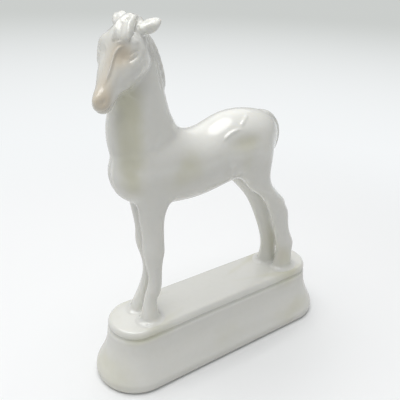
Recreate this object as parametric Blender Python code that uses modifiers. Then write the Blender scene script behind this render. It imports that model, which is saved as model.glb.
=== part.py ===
"""Porcelain foal standing on a long plinth, built as separate cast pieces luted together.

Frame: origin on the floor under the middle of the plinth, +X towards the foal's head,
+Y towards the foal's left side, +Z up. All sizes are in metres.
"""
import math

import bmesh
import bpy
from mathutils import Matrix, Vector

# Plinth: length over the rounded foot, width, height to the top of the slab
PLINTH_LENGTH = 0.1282
PLINTH_WIDTH = 0.0386
PLINTH_HEIGHT = 0.030
# Slab that forms the top of the plinth, and the groove under it
SLAB_LENGTH = 0.1115
SLAB_WIDTH = 0.0255
SLAB_THICKNESS = 0.0052
GROOVE_DEPTH = 0.0007
# Thickness of the cast clay in the plinth and in the body
PLINTH_WALL = 0.0035
BODY_WALL = 0.0030
# Film of slip that lutes each piece to the next
SLIP = 0.0003
# Vent in the belly, and the air channel between the hollows, that let the body breathe in the kiln
VENT_DIAMETER = 0.0025
CHANNEL_DIAMETER = 0.0030

# Trunk: buttock to breast, width over the ribs, depth at the girth, axis above the slab
BODY_LENGTH = 0.084
BARREL_WIDTH = 0.0272
BARREL_DEPTH = 0.0320
BARREL_HEIGHT = 0.0725
# Neck: axis of the trunk to the poll, width and depth at half height
NECK_LENGTH = 0.052
NECK_WIDTH = 0.0175
NECK_DEPTH = 0.0245
# Head: poll to lips, width over the brows, brow to jaw, droop from level, turn to the left
HEAD_LENGTH = 0.0340
HEAD_WIDTH = 0.0158
HEAD_DEPTH = 0.0165
HEAD_DROOP = 53.0
HEAD_TURN = 25.0
# Ears, forelock, mane and tail
EAR_LENGTH = 0.0084
EAR_WIDTH = 0.0058
FORELOCK_WIDTH = 0.0052
MANE_WIDTH = 0.0050
TAIL_WIDTH = 0.0072
# Legs: hoof spacing along and across, how far the left hind foot is set behind the right,
# thickness of the fore and hind cannons
STANCE_LENGTH = 0.0802
STANCE_WIDTH = 0.0094
HIND_STRIDE = 0.0034
FORE_CANNON = 0.0056
HIND_CANNON = 0.0060


def porcelain(name, colour, roughness):
    """Return one glazed porcelain material."""
    material = bpy.data.materials.new(name)
    material.use_nodes = True
    shader = material.node_tree.nodes["Principled BSDF"]
    shader.inputs["Base Color"].default_value = (*colour, 1.0)
    shader.inputs["Roughness"].default_value = roughness
    return material


def add_object(name, mesh, collection, material=None):
    """Link a mesh as one object of a collection."""
    thing = bpy.data.objects.new(name, mesh)
    collection.objects.link(thing)
    if material is not None:
        mesh.materials.append(material)
    return thing


def as_cutter(thing):
    """Mark an object as a hidden cutter."""
    thing.display_type = "WIRE"
    thing.hide_render = True
    return thing


def boolean(thing, other, operation):
    """Join, subtract or intersect another object with an exact Boolean."""
    modifier = thing.modifiers.new(operation.title() + " " + other.name, "BOOLEAN")
    modifier.operation = operation
    modifier.solver = "EXACT"
    modifier.object = other
    return modifier


def ring(station, sides, grow):
    """Place the points of one section: an ellipse whose front and back halves differ.

    A station is centre, depth direction, side direction, half width, front, back and egg,
    where egg widens the front half and narrows the back half.
    """
    centre, front_way, side_way, half_width, front, back, egg = station
    # A closed control ring shrinks when it is subdivided, so it starts larger by this much
    stretch = 6.0 / (4.0 + 2.0 * math.cos(2.0 * math.pi / sides))
    points = []
    for index in range(sides):
        angle = 2.0 * math.pi * index / sides
        across = math.cos(angle)
        deep = math.sin(angle)
        reach = front if deep > 0.0 else back
        wide = (half_width * (1.0 + egg * deep) + grow) * stretch
        points.append(centre + side_way * (across * wide) + front_way * (deep * (reach + grow) * stretch))
    return points


def loft(name, stations, collection, material=None, grow=0.0, sides=12, levels=1):
    """Skin a row of sections with a control cage and smooth it by subdivision."""
    mesh = bpy.data.meshes.new(name)
    work = bmesh.new()
    first, last = stations[0], stations[-1]
    start_way = (first[0] - stations[1][0]).normalized()
    end_way = (last[0] - stations[-2][0]).normalized()
    rows = []
    for place, station in enumerate(stations):
        shift = Vector((0.0, 0.0, 0.0))
        if place == 0:
            shift = start_way * grow
        if place == len(stations) - 1:
            shift = end_way * grow
        rows.append([work.verts.new(point + shift) for point in ring(station, sides, grow)])
    for row in range(len(rows) - 1):
        for side in range(sides):
            after = (side + 1) % sides
            work.faces.new((rows[row][side], rows[row][after], rows[row + 1][after], rows[row + 1][side]))
    work.faces.new(rows[0])
    work.faces.new(list(reversed(rows[-1])))
    bmesh.ops.recalc_face_normals(work, faces=work.faces)
    work.to_mesh(mesh)
    work.free()
    thing = add_object(name, mesh, collection, material)
    smooth = thing.modifiers.new("Smooth cage", "SUBSURF")
    smooth.levels = levels
    smooth.render_levels = levels
    return thing


def block(name, size, matrix, collection):
    """Add a rectangular cutter block of a size, placed by a matrix."""
    mesh = bpy.data.meshes.new(name)
    work = bmesh.new()
    bmesh.ops.create_cube(work, size=1.0, matrix=matrix @ Matrix.Diagonal((*size, 1.0)))
    work.to_mesh(mesh)
    work.free()
    return as_cutter(add_object(name, mesh, collection))


def bore(name, diameter, start, end, collection):
    """Add a round cutter between two points."""
    mesh = bpy.data.meshes.new(name)
    work = bmesh.new()
    way = end - start
    place = Matrix.Translation((start + end) / 2.0) @ way.to_track_quat("Z", "Y").to_matrix().to_4x4()
    bmesh.ops.create_cone(work, cap_ends=True, segments=12, radius1=diameter / 2.0, radius2=diameter / 2.0,
                          depth=way.length, matrix=place)
    work.to_mesh(mesh)
    work.free()
    return as_cutter(add_object(name, mesh, collection))


# Positions shared by several pieces
SLAB_TOP = PLINTH_HEIGHT
AXIS_HEIGHT = SLAB_TOP + BARREL_HEIGHT
RUMP_X = -0.357 * BODY_LENGTH
FORE_X = 0.5 * STANCE_LENGTH
HIND_X = -0.5 * STANCE_LENGTH
# Height of the level seams between the trunk and the legs, above the elbows and the gaskins
ELBOW_SEAM = SLAB_TOP + 0.735 * BARREL_HEIGHT
GASKIN_SEAM = SLAB_TOP + 0.775 * BARREL_HEIGHT
FORWARD = Vector((1.0, 0.0, 0.0))
LEFT = Vector((0.0, 1.0, 0.0))
UP = Vector((0.0, 0.0, 1.0))


def lean(degrees):
    """Direction in the plane of symmetry, 0 degrees up and 90 degrees forward."""
    angle = math.radians(degrees)
    return Vector((math.sin(angle), 0.0, math.cos(angle)))


def trunk_stations():
    """Sections of the trunk: part of the length from the buttock, rise, lean, half width, up, down."""
    table = (
        (0.018, 0.02, -14.0, 0.26, 0.16, 0.20),
        (0.046, 0.03, -12.0, 0.54, 0.29, 0.35),
        (0.112, 0.05, -8.0, 0.82, 0.405, 0.45),
        (0.200, 0.05, -3.0, 1.00, 0.49, 0.47),
        (0.310, 0.04, 0.0, 1.03, 0.51, 0.48),
        (0.400, 0.01, 0.0, 0.95, 0.50, 0.515),
        (0.490, -0.03, 0.0, 0.92, 0.405, 0.54),
        (0.590, -0.05, 0.0, 0.98, 0.425, 0.53),
        (0.690, -0.05, 0.0, 1.00, 0.490, 0.51),
        (0.790, -0.02, 0.0, 0.97, 0.53, 0.51),
        (0.885, 0.00, 4.0, 0.86, 0.43, 0.47),
        (0.950, -0.03, 4.0, 0.68, 0.31, 0.37),
        (0.985, -0.04, 4.0, 0.44, 0.20, 0.25),
        (1.000, -0.04, 4.0, 0.18, 0.08, 0.10),
    )
    stations = []
    for along, rise, tilt, wide, above, below in table:
        centre = Vector((RUMP_X + along * BODY_LENGTH, 0.0, AXIS_HEIGHT + rise * BARREL_DEPTH))
        stations.append((centre, lean(tilt), LEFT, wide * BARREL_WIDTH / 2.0,
                         above * BARREL_DEPTH, below * BARREL_DEPTH, 0.0))
    return stations


NECK_FOOT = Vector((RUMP_X + 0.800 * BODY_LENGTH, 0.0, AXIS_HEIGHT))


def neck_stations():
    """Sections of the neck: part of its length, forward offset, tilt, half width, throat, crest, egg."""
    table = (
        (-0.04, -0.02, 95.0, 1.00, 0.50, 0.50, 0.0),
        (0.09, 0.00, 95.0, 1.16, 0.60, 0.58, 0.0),
        (0.25, 0.04, 93.0, 1.12, 0.635, 0.64, 0.08),
        (0.38, 0.065, 92.0, 0.98, 0.59, 0.535, 0.12),
        (0.53, 0.075, 94.0, 0.88, 0.47, 0.455, 0.15),
        (0.70, 0.070, 102.0, 0.80, 0.37, 0.375, 0.15),
        (0.84, 0.075, 112.0, 0.72, 0.32, 0.29, 0.10),
        (0.95, 0.105, 124.0, 0.58, 0.22, 0.15, 0.0),
    )
    stations = []
    for up, ahead, tilt, wide, throat, crest, egg in table:
        centre = NECK_FOOT + UP * (up * NECK_LENGTH) + FORWARD * (ahead * NECK_LENGTH)
        stations.append((centre, lean(tilt), LEFT, wide * NECK_WIDTH / 2.0,
                         throat * NECK_DEPTH, crest * NECK_DEPTH, egg))
    return stations


POLL = NECK_FOOT + UP * (1.045 * NECK_LENGTH) + FORWARD * (0.095 * NECK_LENGTH)
_TURN = Matrix.Rotation(math.radians(HEAD_TURN), 3, "Z")
_DROOP = math.radians(HEAD_DROOP)
# Directions of the head: along it to the lips, out of the face, and to its left
HEAD_WAY = _TURN @ Vector((math.cos(_DROOP), 0.0, -math.sin(_DROOP)))
FACE_WAY = _TURN @ Vector((math.sin(_DROOP), 0.0, math.cos(_DROOP)))
HEAD_LEFT = _TURN @ LEFT


def on_head(along, out, side):
    """Point given by its distance from the poll to the lips, out of the face and to the left."""
    return POLL + HEAD_WAY * (along * HEAD_LENGTH) + FACE_WAY * (out * HEAD_DEPTH) + HEAD_LEFT * (side * HEAD_WIDTH)


def head_stations():
    """Sections of the head: part of its length, half width, face, jaw, egg."""
    table = (
        (-0.085, 0.32, 0.14, 0.18, 0.0),
        (-0.010, 0.62, 0.27, 0.33, 0.0),
        (0.090, 0.74, 0.365, 0.49, 0.06),
        (0.200, 0.94, 0.410, 0.64, 0.14),
        (0.295, 1.32, 0.385, 0.76, 0.24),
        (0.400, 1.12, 0.335, 0.82, 0.12),
        (0.530, 0.88, 0.290, 0.73, 0.06),
        (0.640, 0.66, 0.260, 0.50, 0.06),
        (0.750, 0.49, 0.245, 0.28, 0.04),
        (0.850, 0.47, 0.280, 0.20, 0.0),
        (0.935, 0.43, 0.268, 0.19, 0.0),
        (0.980, 0.33, 0.205, 0.15, 0.0),
        (1.002, 0.14, 0.085, 0.065, 0.0),
    )
    stations = []
    for along, wide, face, jaw, egg in table:
        stations.append((on_head(along, 0.0, 0.0), FACE_WAY, HEAD_LEFT, wide * HEAD_WIDTH / 2.0,
                         face * HEAD_DEPTH, jaw * HEAD_DEPTH, egg))
    return stations


def leg_stations(table, hoof_x, side, cannon):
    """Sections of one leg: height, forward and outward offsets, tilt, half width, front, back."""
    stations = []
    hip_x = math.copysign(0.5 * STANCE_LENGTH, hoof_x)
    for height, ahead, outward, tilt, wide, front, back in table:
        # The foot's own offset fades out between the hock and the hip
        rising = min(max((height - 0.55) / 0.35, 0.0), 1.0)
        centre = Vector((hoof_x + (hip_x - hoof_x) * rising + ahead * BARREL_HEIGHT,
                         side * outward * STANCE_WIDTH / 2.0, SLAB_TOP + height * BARREL_HEIGHT))
        stations.append((centre, lean(tilt), LEFT, wide * cannon, front * cannon, back * cannon, 0.0))
    return stations


FORE_TABLE = (
    (1.02, -0.040, 1.15, 90.0, 1.00, 1.45, 1.40),
    (0.91, -0.040, 1.28, 90.0, 1.08, 1.50, 1.45),
    (0.81, -0.040, 1.25, 90.0, 0.96, 1.25, 1.25),
    (0.73, -0.040, 1.20, 90.0, 0.86, 0.98, 0.66),
    (0.66, -0.040, 1.16, 90.0, 0.76, 0.80, 0.58),
    (0.58, -0.042, 1.12, 90.0, 0.68, 0.66, 0.64),
    (0.495, -0.036, 1.08, 90.0, 0.72, 0.70, 0.70),
    (0.43, -0.038, 1.04, 90.0, 0.62, 0.60, 0.65),
    (0.35, -0.042, 1.00, 90.0, 0.49, 0.47, 0.53),
    (0.27, -0.046, 1.00, 90.0, 0.48, 0.46, 0.52),
    (0.195, -0.042, 1.00, 92.0, 0.57, 0.54, 0.62),
    (0.130, -0.026, 1.00, 96.0, 0.54, 0.58, 0.47),
    (0.070, -0.010, 1.00, 92.0, 0.64, 0.76, 0.58),
    (0.000, 0.000, 1.00, 90.0, 0.76, 0.92, 0.86),
    (-0.020, 0.000, 1.00, 90.0, 0.76, 0.92, 0.86),
)
HIND_TABLE = (
    (1.13, 0.340, 1.25, 80.0, 0.85, 1.30, 1.10),
    (1.03, 0.345, 1.62, 80.0, 1.06, 1.85, 1.20),
    (0.92, 0.350, 1.62, 82.0, 1.08, 1.95, 1.12),
    (0.82, 0.335, 1.48, 78.0, 0.98, 2.05, 0.98),
    (0.725, 0.285, 1.32, 72.0, 0.84, 2.05, 0.92),
    (0.645, 0.214, 1.20, 66.0, 0.74, 1.86, 0.98),
    (0.585, 0.164, 1.12, 66.0, 0.68, 1.70, 0.94),
    (0.525, 0.116, 1.06, 72.0, 0.64, 1.44, 0.94),
    (0.450, 0.080, 1.02, 82.0, 0.56, 1.22, 0.76),
    (0.360, 0.056, 0.98, 86.0, 0.48, 0.98, 0.62),
    (0.270, 0.028, 0.96, 86.0, 0.47, 0.90, 0.66),
    (0.190, -0.004, 0.95, 88.0, 0.56, 0.98, 0.86),
    (0.130, -0.004, 0.94, 94.0, 0.54, 0.86, 0.74),
    (0.070, -0.004, 0.94, 90.0, 0.62, 0.90, 0.76),
    (0.000, 0.000, 0.94, 90.0, 0.72, 1.04, 0.86),
    (-0.020, 0.000, 0.94, 90.0, 0.72, 1.04, 0.86),
)


def tail_stations():
    """Sections of the tail along its curve from the dock: position, tilt, half width, out, in."""
    table = (
        (0.115, 0.420, 8.0, 0.34, 0.27, 0.40),
        (0.060, 0.375, -20.0, 0.46, 0.34, 0.46),
        (0.018, 0.250, -52.0, 0.50, 0.36, 0.46),
        (0.000, 0.090, -78.0, 0.48, 0.36, 0.44),
        (0.000, -0.060, -92.0, 0.38, 0.33, 0.38),
        (0.010, -0.180, -100.0, 0.24, 0.22, 0.26),
    )
    stations = []
    for along, rise, tilt, wide, out, back in table:
        centre = Vector((RUMP_X + along * BODY_LENGTH, 0.0, AXIS_HEIGHT + rise * BARREL_DEPTH))
        stations.append((centre, lean(tilt), LEFT, wide * TAIL_WIDTH, out * TAIL_WIDTH, back * TAIL_WIDTH, 0.0))
    return stations


def mane_stations():
    """Sections of the mane down the crest: height, offset behind the neck's axis, tilt, width, out, in."""
    table = (
        (1.000, 0.040, -50.0, 0.26, 0.18, 0.40),
        (0.940, -0.022, -62.0, 0.42, 0.28, 0.50),
        (0.850, -0.064, -76.0, 0.50, 0.30, 0.50),
        (0.740, -0.094, -84.0, 0.52, 0.36, 0.50),
        (0.650, -0.112, -86.0, 0.50, 0.40, 0.50),
        (0.580, -0.120, -86.0, 0.38, 0.28, 0.46),
        (0.530, -0.120, -86.0, 0.20, 0.14, 0.32),
    )
    stations = []
    for up, ahead, tilt, wide, out, back in table:
        centre = NECK_FOOT + UP * (up * NECK_LENGTH) + FORWARD * (ahead * NECK_LENGTH)
        stations.append((centre, lean(tilt), LEFT, wide * MANE_WIDTH, out * MANE_WIDTH, back * MANE_WIDTH, 0.0))
    return stations


def forelock_stations():
    """Sections of the forelock down the forehead: along, out of the face, to the left, half width, front, back."""
    table = (
        (-0.075, 0.060, 0.08, 0.32, 0.22, 0.30),
        (-0.030, 0.240, 0.13, 0.46, 0.30, 0.36),
        (0.050, 0.370, 0.24, 0.54, 0.30, 0.34),
        (0.150, 0.425, 0.34, 0.60, 0.28, 0.30),
        (0.250, 0.425, 0.40, 0.56, 0.26, 0.26),
        (0.315, 0.400, 0.42, 0.34, 0.16, 0.16),
    )
    stations = []
    for along, out, left, wide, front, back in table:
        stations.append((on_head(along, out, left / 2.0), FACE_WAY, HEAD_LEFT, wide * FORELOCK_WIDTH,
                         front * FORELOCK_WIDTH, back * FORELOCK_WIDTH, 0.0))
    return stations


def ear_stations(side):
    """Sections of one ear from its root in the poll to its tip, the left one turned further out."""
    outward, back, low, apart = (0.62, 0.30, 0.095, 0.33) if side > 0.0 else (0.40, 0.34, 0.060, 0.27)
    way = (HEAD_LEFT * side * outward - HEAD_WAY * 0.72 - FACE_WAY * back).normalized()
    front_way = (FACE_WAY - way * FACE_WAY.dot(way)).normalized()
    side_way = way.cross(front_way)
    root = on_head(low, 0.14, apart * side)
    table = (
        (0.00, 0.34, 0.26, 0.26),
        (0.26, 0.46, 0.26, 0.34),
        (0.52, 0.52, 0.20, 0.36),
        (0.76, 0.42, 0.18, 0.30),
        (0.93, 0.24, 0.14, 0.20),
        (1.00, 0.10, 0.08, 0.10),
    )
    stations = []
    for along, wide, near, far in table:
        stations.append((root + way * (along * EAR_LENGTH), front_way, side_way, wide * EAR_WIDTH,
                         near * EAR_WIDTH, far * EAR_WIDTH, 0.0))
    return stations


def plinth_outline(length, width, height, sides):
    """Points of a long outline with half-round ends, at one height."""
    radius = width / 2.0
    straight = length / 2.0 - radius
    points = []
    for end in (1.0, -1.0):
        for step in range(sides + 1):
            angle = math.pi * (step / sides - 0.5)
            points.append(Vector((end * (straight + radius * math.cos(angle)),
                                  end * radius * math.sin(angle), height)))
    return points


def skin(name, rows, collection, material=None):
    """Join a stack of equal outlines into one closed solid."""
    mesh = bpy.data.meshes.new(name)
    work = bmesh.new()
    made = [[work.verts.new(point) for point in row] for row in rows]
    count = len(made[0])
    for row in range(len(made) - 1):
        for place in range(count):
            after = (place + 1) % count
            work.faces.new((made[row][place], made[row][after], made[row + 1][after], made[row + 1][place]))
    work.faces.new(made[0])
    work.faces.new(list(reversed(made[-1])))
    bmesh.ops.recalc_face_normals(work, faces=work.faces)
    work.to_mesh(mesh)
    work.free()
    return add_object(name, mesh, collection, material)


def build_plinth(parts, cutters):
    """Plinth: flared foot, concave sides, fine groove, slab with a rounded edge, open below."""
    flare_long = PLINTH_LENGTH - SLAB_LENGTH
    flare_wide = PLINTH_WIDTH - SLAB_WIDTH
    groove = PLINTH_HEIGHT - SLAB_THICKNESS
    # Foot and concave side: share of the flare at parts of the height up to the groove
    profile = [
        (0.76, 0.0),
        (0.90, 0.03),
        (0.985, 0.075),
        (1.00, 0.135),
        (0.975, 0.195),
        (0.86, 0.27),
        (0.64, 0.38),
        (0.40, 0.52),
        (0.20, 0.68),
        (0.09, 0.84),
        (0.045, 0.95),
    ]
    rows = []
    for share, part in profile:
        rows.append(plinth_outline(SLAB_LENGTH + share * flare_long, SLAB_WIDTH + share * flare_wide,
                                   part * groove, 14))
    edge = SLAB_THICKNESS
    shrink = 2.0 * GROOVE_DEPTH
    rows.append(plinth_outline(SLAB_LENGTH - shrink, SLAB_WIDTH - shrink, groove, 14))
    # Rounded edge of the slab: inset from its widest outline at parts of its thickness
    for inset, part in ((0.20, 0.12), (0.0, 0.30), (0.0, 0.50), (0.10, 0.70), (0.30, 0.86), (0.58, 0.965), (0.86, 1.0)):
        rows.append(plinth_outline(SLAB_LENGTH - inset * edge, SLAB_WIDTH - inset * edge,
                                   groove + part * SLAB_THICKNESS, 14))
    glaze = porcelain("plinth_porcelain", (0.80, 0.81, 0.76), 0.18)
    plinth = skin("plinth", rows, parts, glaze)
    wall = 2.0 * PLINTH_WALL
    hollow = []
    for share, part in ((0.80, -0.10), (0.80, 0.10), (0.62, 0.30), (0.34, 0.52), (0.08, 0.72), (-0.02, 0.92)):
        hollow.append(plinth_outline(SLAB_LENGTH + share * flare_long - wall, SLAB_WIDTH + share * flare_wide - wall,
                                     part * (PLINTH_HEIGHT - PLINTH_WALL), 8))
    hollow.append(plinth_outline(SLAB_LENGTH - 1.6 * wall, SLAB_WIDTH - 1.6 * wall,
                                 PLINTH_HEIGHT - PLINTH_WALL, 8))
    boolean(plinth, as_cutter(skin("plinth_hollow", hollow, cutters)), "DIFFERENCE")
    return plinth


def neck_seam(offset):
    """Frame of the plane between trunk and neck, moved along its own axis."""
    middle = NECK_FOOT + UP * (0.225 * NECK_LENGTH)
    return Matrix.Translation(middle) @ Matrix.Rotation(math.radians(12.0), 4, "Y") @ Matrix.Translation(UP * offset)


def leg_reach(legs, middle, height):
    """How far the parts of some legs up to a height reach to either side of a middle."""
    reach = 0.0
    for stations in legs:
        for centre, _, _, _, front, back, _ in stations:
            if centre.z < height:
                reach = max(reach, abs(centre.x - middle) + max(front, back))
    return reach


def build_foal(parts, cutters):
    """Build every piece of the foal, cut to its neighbours with a film of slip between."""
    glaze = porcelain("trunk_porcelain", (0.86, 0.87, 0.82), 0.15)
    trunk = loft("trunk", trunk_stations(), parts, glaze, sides=16)
    neck = loft("neck", neck_stations(), parts, porcelain("neck_porcelain", (0.86, 0.87, 0.81), 0.15))
    head = loft("head", head_stations(), parts, porcelain("head_porcelain", (0.87, 0.87, 0.82), 0.14), sides=14)

    # Trunk with its shoulders, thighs and the stump of the neck
    neck_stump = as_cutter(loft("neck_stump", neck_stations(), cutters))
    boolean(trunk, neck_stump, "UNION")
    legs = []
    for side, word in ((1.0, "left"), (-1.0, "right")):
        back_foot = HIND_X - side * HIND_STRIDE / 2.0
        for table, hoof_x, cannon, kind in ((FORE_TABLE, FORE_X, FORE_CANNON, "foreleg"),
                                            (HIND_TABLE, back_foot, HIND_CANNON, "hindleg")):
            name = word + "_" + kind
            stations = leg_stations(table, hoof_x, side, cannon)
            limb = as_cutter(loft(name + "_root", stations, cutters))
            boolean(trunk, limb, "UNION")
            leg = loft(name, stations, parts, porcelain(name + "_porcelain", (0.85, 0.86, 0.81), 0.16))
            legs.append((leg, kind, stations))

    # The seams: a plane through the base of the neck, and level cuts above the elbows and gaskins
    long = BODY_LENGTH
    broad = 2.0 * BARREL_WIDTH
    tall = BARREL_HEIGHT
    above = block("neck_waste", (long, long, 1.4 * NECK_LENGTH),
                  neck_seam(0.7 * NECK_LENGTH - SLIP / 2.0), cutters)
    below = block("trunk_waste", (long, long, long), neck_seam(-long / 2.0 + SLIP / 2.0), cutters)
    boolean(trunk, above, "DIFFERENCE")
    boolean(neck, below, "DIFFERENCE")
    for kind, seam, middle in (("foreleg", ELBOW_SEAM, FORE_X), ("hindleg", GASKIN_SEAM, HIND_X)):
        pair = [stations for leg, leg_kind, stations in legs if leg_kind == kind]
        # The cutter under the trunk ends just past the legs, short of the belly between them
        near = 2.0 * leg_reach(pair, middle, seam + 0.10 * tall)
        full = 2.2 * leg_reach(pair, middle, seam + tall)
        lower = block(kind + "_waste_below", (near, broad, tall),
                      Matrix.Translation((middle, 0.0, seam + SLIP / 2.0 - tall / 2.0)), cutters)
        boolean(trunk, lower, "DIFFERENCE")
        upper = block(kind + "_waste_above", (full, broad, tall),
                      Matrix.Translation((middle, 0.0, seam - SLIP / 2.0 + tall / 2.0)), cutters)
        sole = block(kind + "_sole_waste", (full, broad, 0.2 * tall),
                     Matrix.Translation((middle, 0.0, SLAB_TOP + SLIP - 0.1 * tall)), cutters)
        for leg, leg_kind, _ in legs:
            if leg_kind == kind:
                boolean(leg, upper, "DIFFERENCE")
                boolean(leg, sole, "DIFFERENCE")

    # Each cast piece is hollow. An air channel joins the hollows, and a vent opens them under the belly
    trunk_core = as_cutter(loft("trunk_core", trunk_stations()[1:-1], cutters, grow=-BODY_WALL))
    neck_core = as_cutter(loft("neck_core", neck_stations()[3:6], cutters, grow=-BODY_WALL, sides=10))
    head_core = as_cutter(loft("head_core", head_stations()[1:7], cutters, grow=-BODY_WALL, sides=10))
    channel = bore("air_channel", CHANNEL_DIAMETER,
                   NECK_FOOT + FORWARD * (NECK_LENGTH / 26.0) + UP * (0.16 * BARREL_DEPTH),
                   on_head(0.16, 0.0, 0.0), cutters)
    belly = Vector((RUMP_X + 0.42 * BODY_LENGTH, 0.0, AXIS_HEIGHT))
    vent = bore("vent", VENT_DIAMETER, belly - UP * (0.10 * BARREL_DEPTH), belly - UP * (0.60 * BARREL_DEPTH), cutters)
    boolean(trunk, trunk_core, "DIFFERENCE")
    boolean(trunk, channel, "DIFFERENCE")
    boolean(trunk, vent, "DIFFERENCE")
    boolean(neck, neck_core, "DIFFERENCE")
    boolean(neck, channel, "DIFFERENCE")
    boolean(head, head_core, "DIFFERENCE")
    boolean(head, channel, "DIFFERENCE")
    head_seat = as_cutter(loft("head_seat", head_stations(), cutters, grow=SLIP, sides=14))
    boolean(neck, head_seat, "DIFFERENCE")

    # Applied pieces, each scooped to sit on what it is luted to
    tail = loft("tail", tail_stations(), parts, porcelain("tail_porcelain", (0.85, 0.86, 0.80), 0.17), sides=10)
    boolean(tail, as_cutter(loft("tail_seat", trunk_stations(), cutters, grow=SLIP, sides=16)), "DIFFERENCE")
    mane = loft("mane", mane_stations(), parts, porcelain("mane_porcelain", (0.85, 0.86, 0.80), 0.17), sides=10)
    boolean(mane, as_cutter(loft("mane_seat", neck_stations(), cutters, grow=SLIP)), "DIFFERENCE")
    boolean(mane, head_seat, "DIFFERENCE")
    forelock = loft("forelock", forelock_stations(), parts,
                    porcelain("forelock_porcelain", (0.87, 0.87, 0.82), 0.16), sides=10)
    boolean(forelock, head_seat, "DIFFERENCE")
    for side, word in ((1.0, "left"), (-1.0, "right")):
        ear = loft(word + "_ear", ear_stations(side), parts,
                   porcelain(word + "_ear_porcelain", (0.87, 0.87, 0.83), 0.15), sides=10)
        boolean(ear, head_seat, "DIFFERENCE")


def main():
    """Clear the scene and build the figurine."""
    for thing in list(bpy.data.objects):
        bpy.data.objects.remove(thing, do_unlink=True)
    parts = bpy.data.collections.new("porcelain_foal")
    cutters = bpy.data.collections.new("cutters")
    bpy.context.scene.collection.children.link(parts)
    bpy.context.scene.collection.children.link(cutters)
    build_plinth(parts, cutters)
    build_foal(parts, cutters)


main()
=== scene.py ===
"""Glazed porcelain foal on its long plinth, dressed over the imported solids.

The cast forms are lofted again from the same sections as the solids, fused into one skin so that the glaze
flows over the joints, carved with the detail of the modelling, and parted again along the seams, so that
each cast piece stands for its own solid. Sizes are in metres unless a table says millimetres.
"""
from __future__ import annotations

import logging
import math
from abc import ABC, abstractmethod
from dataclasses import dataclass, field
from enum import Enum
from typing import Sequence

import bmesh
import bpy
import numpy as np
from mathutils import Matrix, Vector


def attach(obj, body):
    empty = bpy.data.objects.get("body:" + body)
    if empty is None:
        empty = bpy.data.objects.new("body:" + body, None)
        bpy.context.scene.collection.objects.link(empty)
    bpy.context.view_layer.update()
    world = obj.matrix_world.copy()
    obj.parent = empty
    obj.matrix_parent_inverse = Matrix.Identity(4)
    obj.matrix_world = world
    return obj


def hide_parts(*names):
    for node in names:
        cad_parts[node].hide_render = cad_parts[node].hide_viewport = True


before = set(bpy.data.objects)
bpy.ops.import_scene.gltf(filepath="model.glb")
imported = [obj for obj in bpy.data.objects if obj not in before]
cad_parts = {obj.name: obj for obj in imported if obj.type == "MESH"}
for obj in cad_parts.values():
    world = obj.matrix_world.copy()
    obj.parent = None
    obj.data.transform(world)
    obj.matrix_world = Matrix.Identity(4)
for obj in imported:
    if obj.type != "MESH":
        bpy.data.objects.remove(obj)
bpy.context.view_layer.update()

log = logging.getLogger("foal")

Triple = tuple[float, float, float]
Rows = Sequence[Sequence[float]]

MM = 0.001
FORWARD = np.array([1.0, 0.0, 0.0])
LEFTWARD = np.array([0.0, 1.0, 0.0])
UPWARD = np.array([0.0, 0.0, 1.0])


class Side(Enum):
    """Side of the foal, with the sign of its Y coordinate."""

    LEFT = 1.0
    RIGHT = -1.0

    @property
    def word(self) -> str:
        """Lower-case name of the side."""
        return self.name.lower()

    def pick(self, left: float, right: float) -> float:
        """The value that belongs to the side."""
        return left if self is Side.LEFT else right


class Gait(Enum):
    """Which pair a leg belongs to."""

    FORE = "foreleg"
    HIND = "hindleg"


class Hue(Enum):
    """Warm colour of stains and of painted shade under the glaze, with its column among the tints."""

    OCHRE = 1
    PEACH = 2


# ---------- Curves and surfaces ----------


def smooth_step(value: np.ndarray | float, low: float, high: float) -> np.ndarray:
    """Rise smoothly from 0 at low to 1 at high: 3t^2 - 2t^3 of the share t of the way."""
    t = np.clip((np.asarray(value) - low) / (high - low), 0.0, 1.0)
    return t * t * (3.0 - 2.0 * t)


def lean(degrees: np.ndarray) -> np.ndarray:
    """Directions in the plane of symmetry, 0 degrees up and 90 degrees forward."""
    angle = np.radians(np.asarray(degrees, float))
    return np.stack([np.sin(angle), np.zeros_like(angle), np.cos(angle)], axis=-1)


def extended(rows: np.ndarray) -> np.ndarray:
    """Rows with one more before the first and after the last, carried on straight."""
    return np.concatenate([2 * rows[:1] - rows[1:2], rows, 2 * rows[-1:] - rows[-2:-1]])


def smooth_curve(path: np.ndarray, place: np.ndarray) -> np.ndarray:
    """Points on the Catmull-Rom curve through a path.

    Between its points b and c, with a before and d after them, the curve runs through
    (2b + (c - a) t + (2a - 5b + 4c - d) t^2 + (3b - a - 3c + d) t^3) / 2.

    Args:
        path: Points that the curve goes through.
        place: Places on it, counted from 0 at the first point and rising by 1 to the next.

    Returns:
        One point for each place.
    """
    span = np.minimum(place.astype(int), len(path) - 2)
    t = (place - span)[:, None]
    a, b, c, d = (extended(path)[span + order] for order in range(4))
    return 0.5 * (2 * b + (c - a) * t + (2 * a - 5 * b + 4 * c - d) * t**2 + (3 * b - a - 3 * c + d) * t**3)


def spline_weights(steps: int, spans: int, closed: bool) -> np.ndarray:
    """Weights of a uniform cubic B-spline at evenly spaced places.

    Args:
        steps: Number of places per span.
        spans: Number of spans, equal to the control points of a closed curve.
        closed: Whether the curve runs round on itself.

    Returns:
        One row per place and one column per control point. An open curve has one extra control point
        before its first and after its last, and ends on the control points between.
    """
    place = np.arange(steps * spans + (0 if closed else 1)) / steps
    span = np.minimum(np.floor(place).astype(int), spans - 1)
    t = place - span
    basis = np.stack([(1 - t) ** 3, 3 * t**3 - 6 * t**2 + 4, -3 * t**3 + 3 * t**2 + 3 * t + 1, t**3]) / 6.0
    columns = spans if closed else spans + 3
    weights = np.zeros((len(place), columns))
    rows = np.arange(len(place))
    for order in range(4):
        column = (span + order - 1) % spans if closed else span + order
        np.add.at(weights, (rows, column), basis[order])
    return weights


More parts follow.
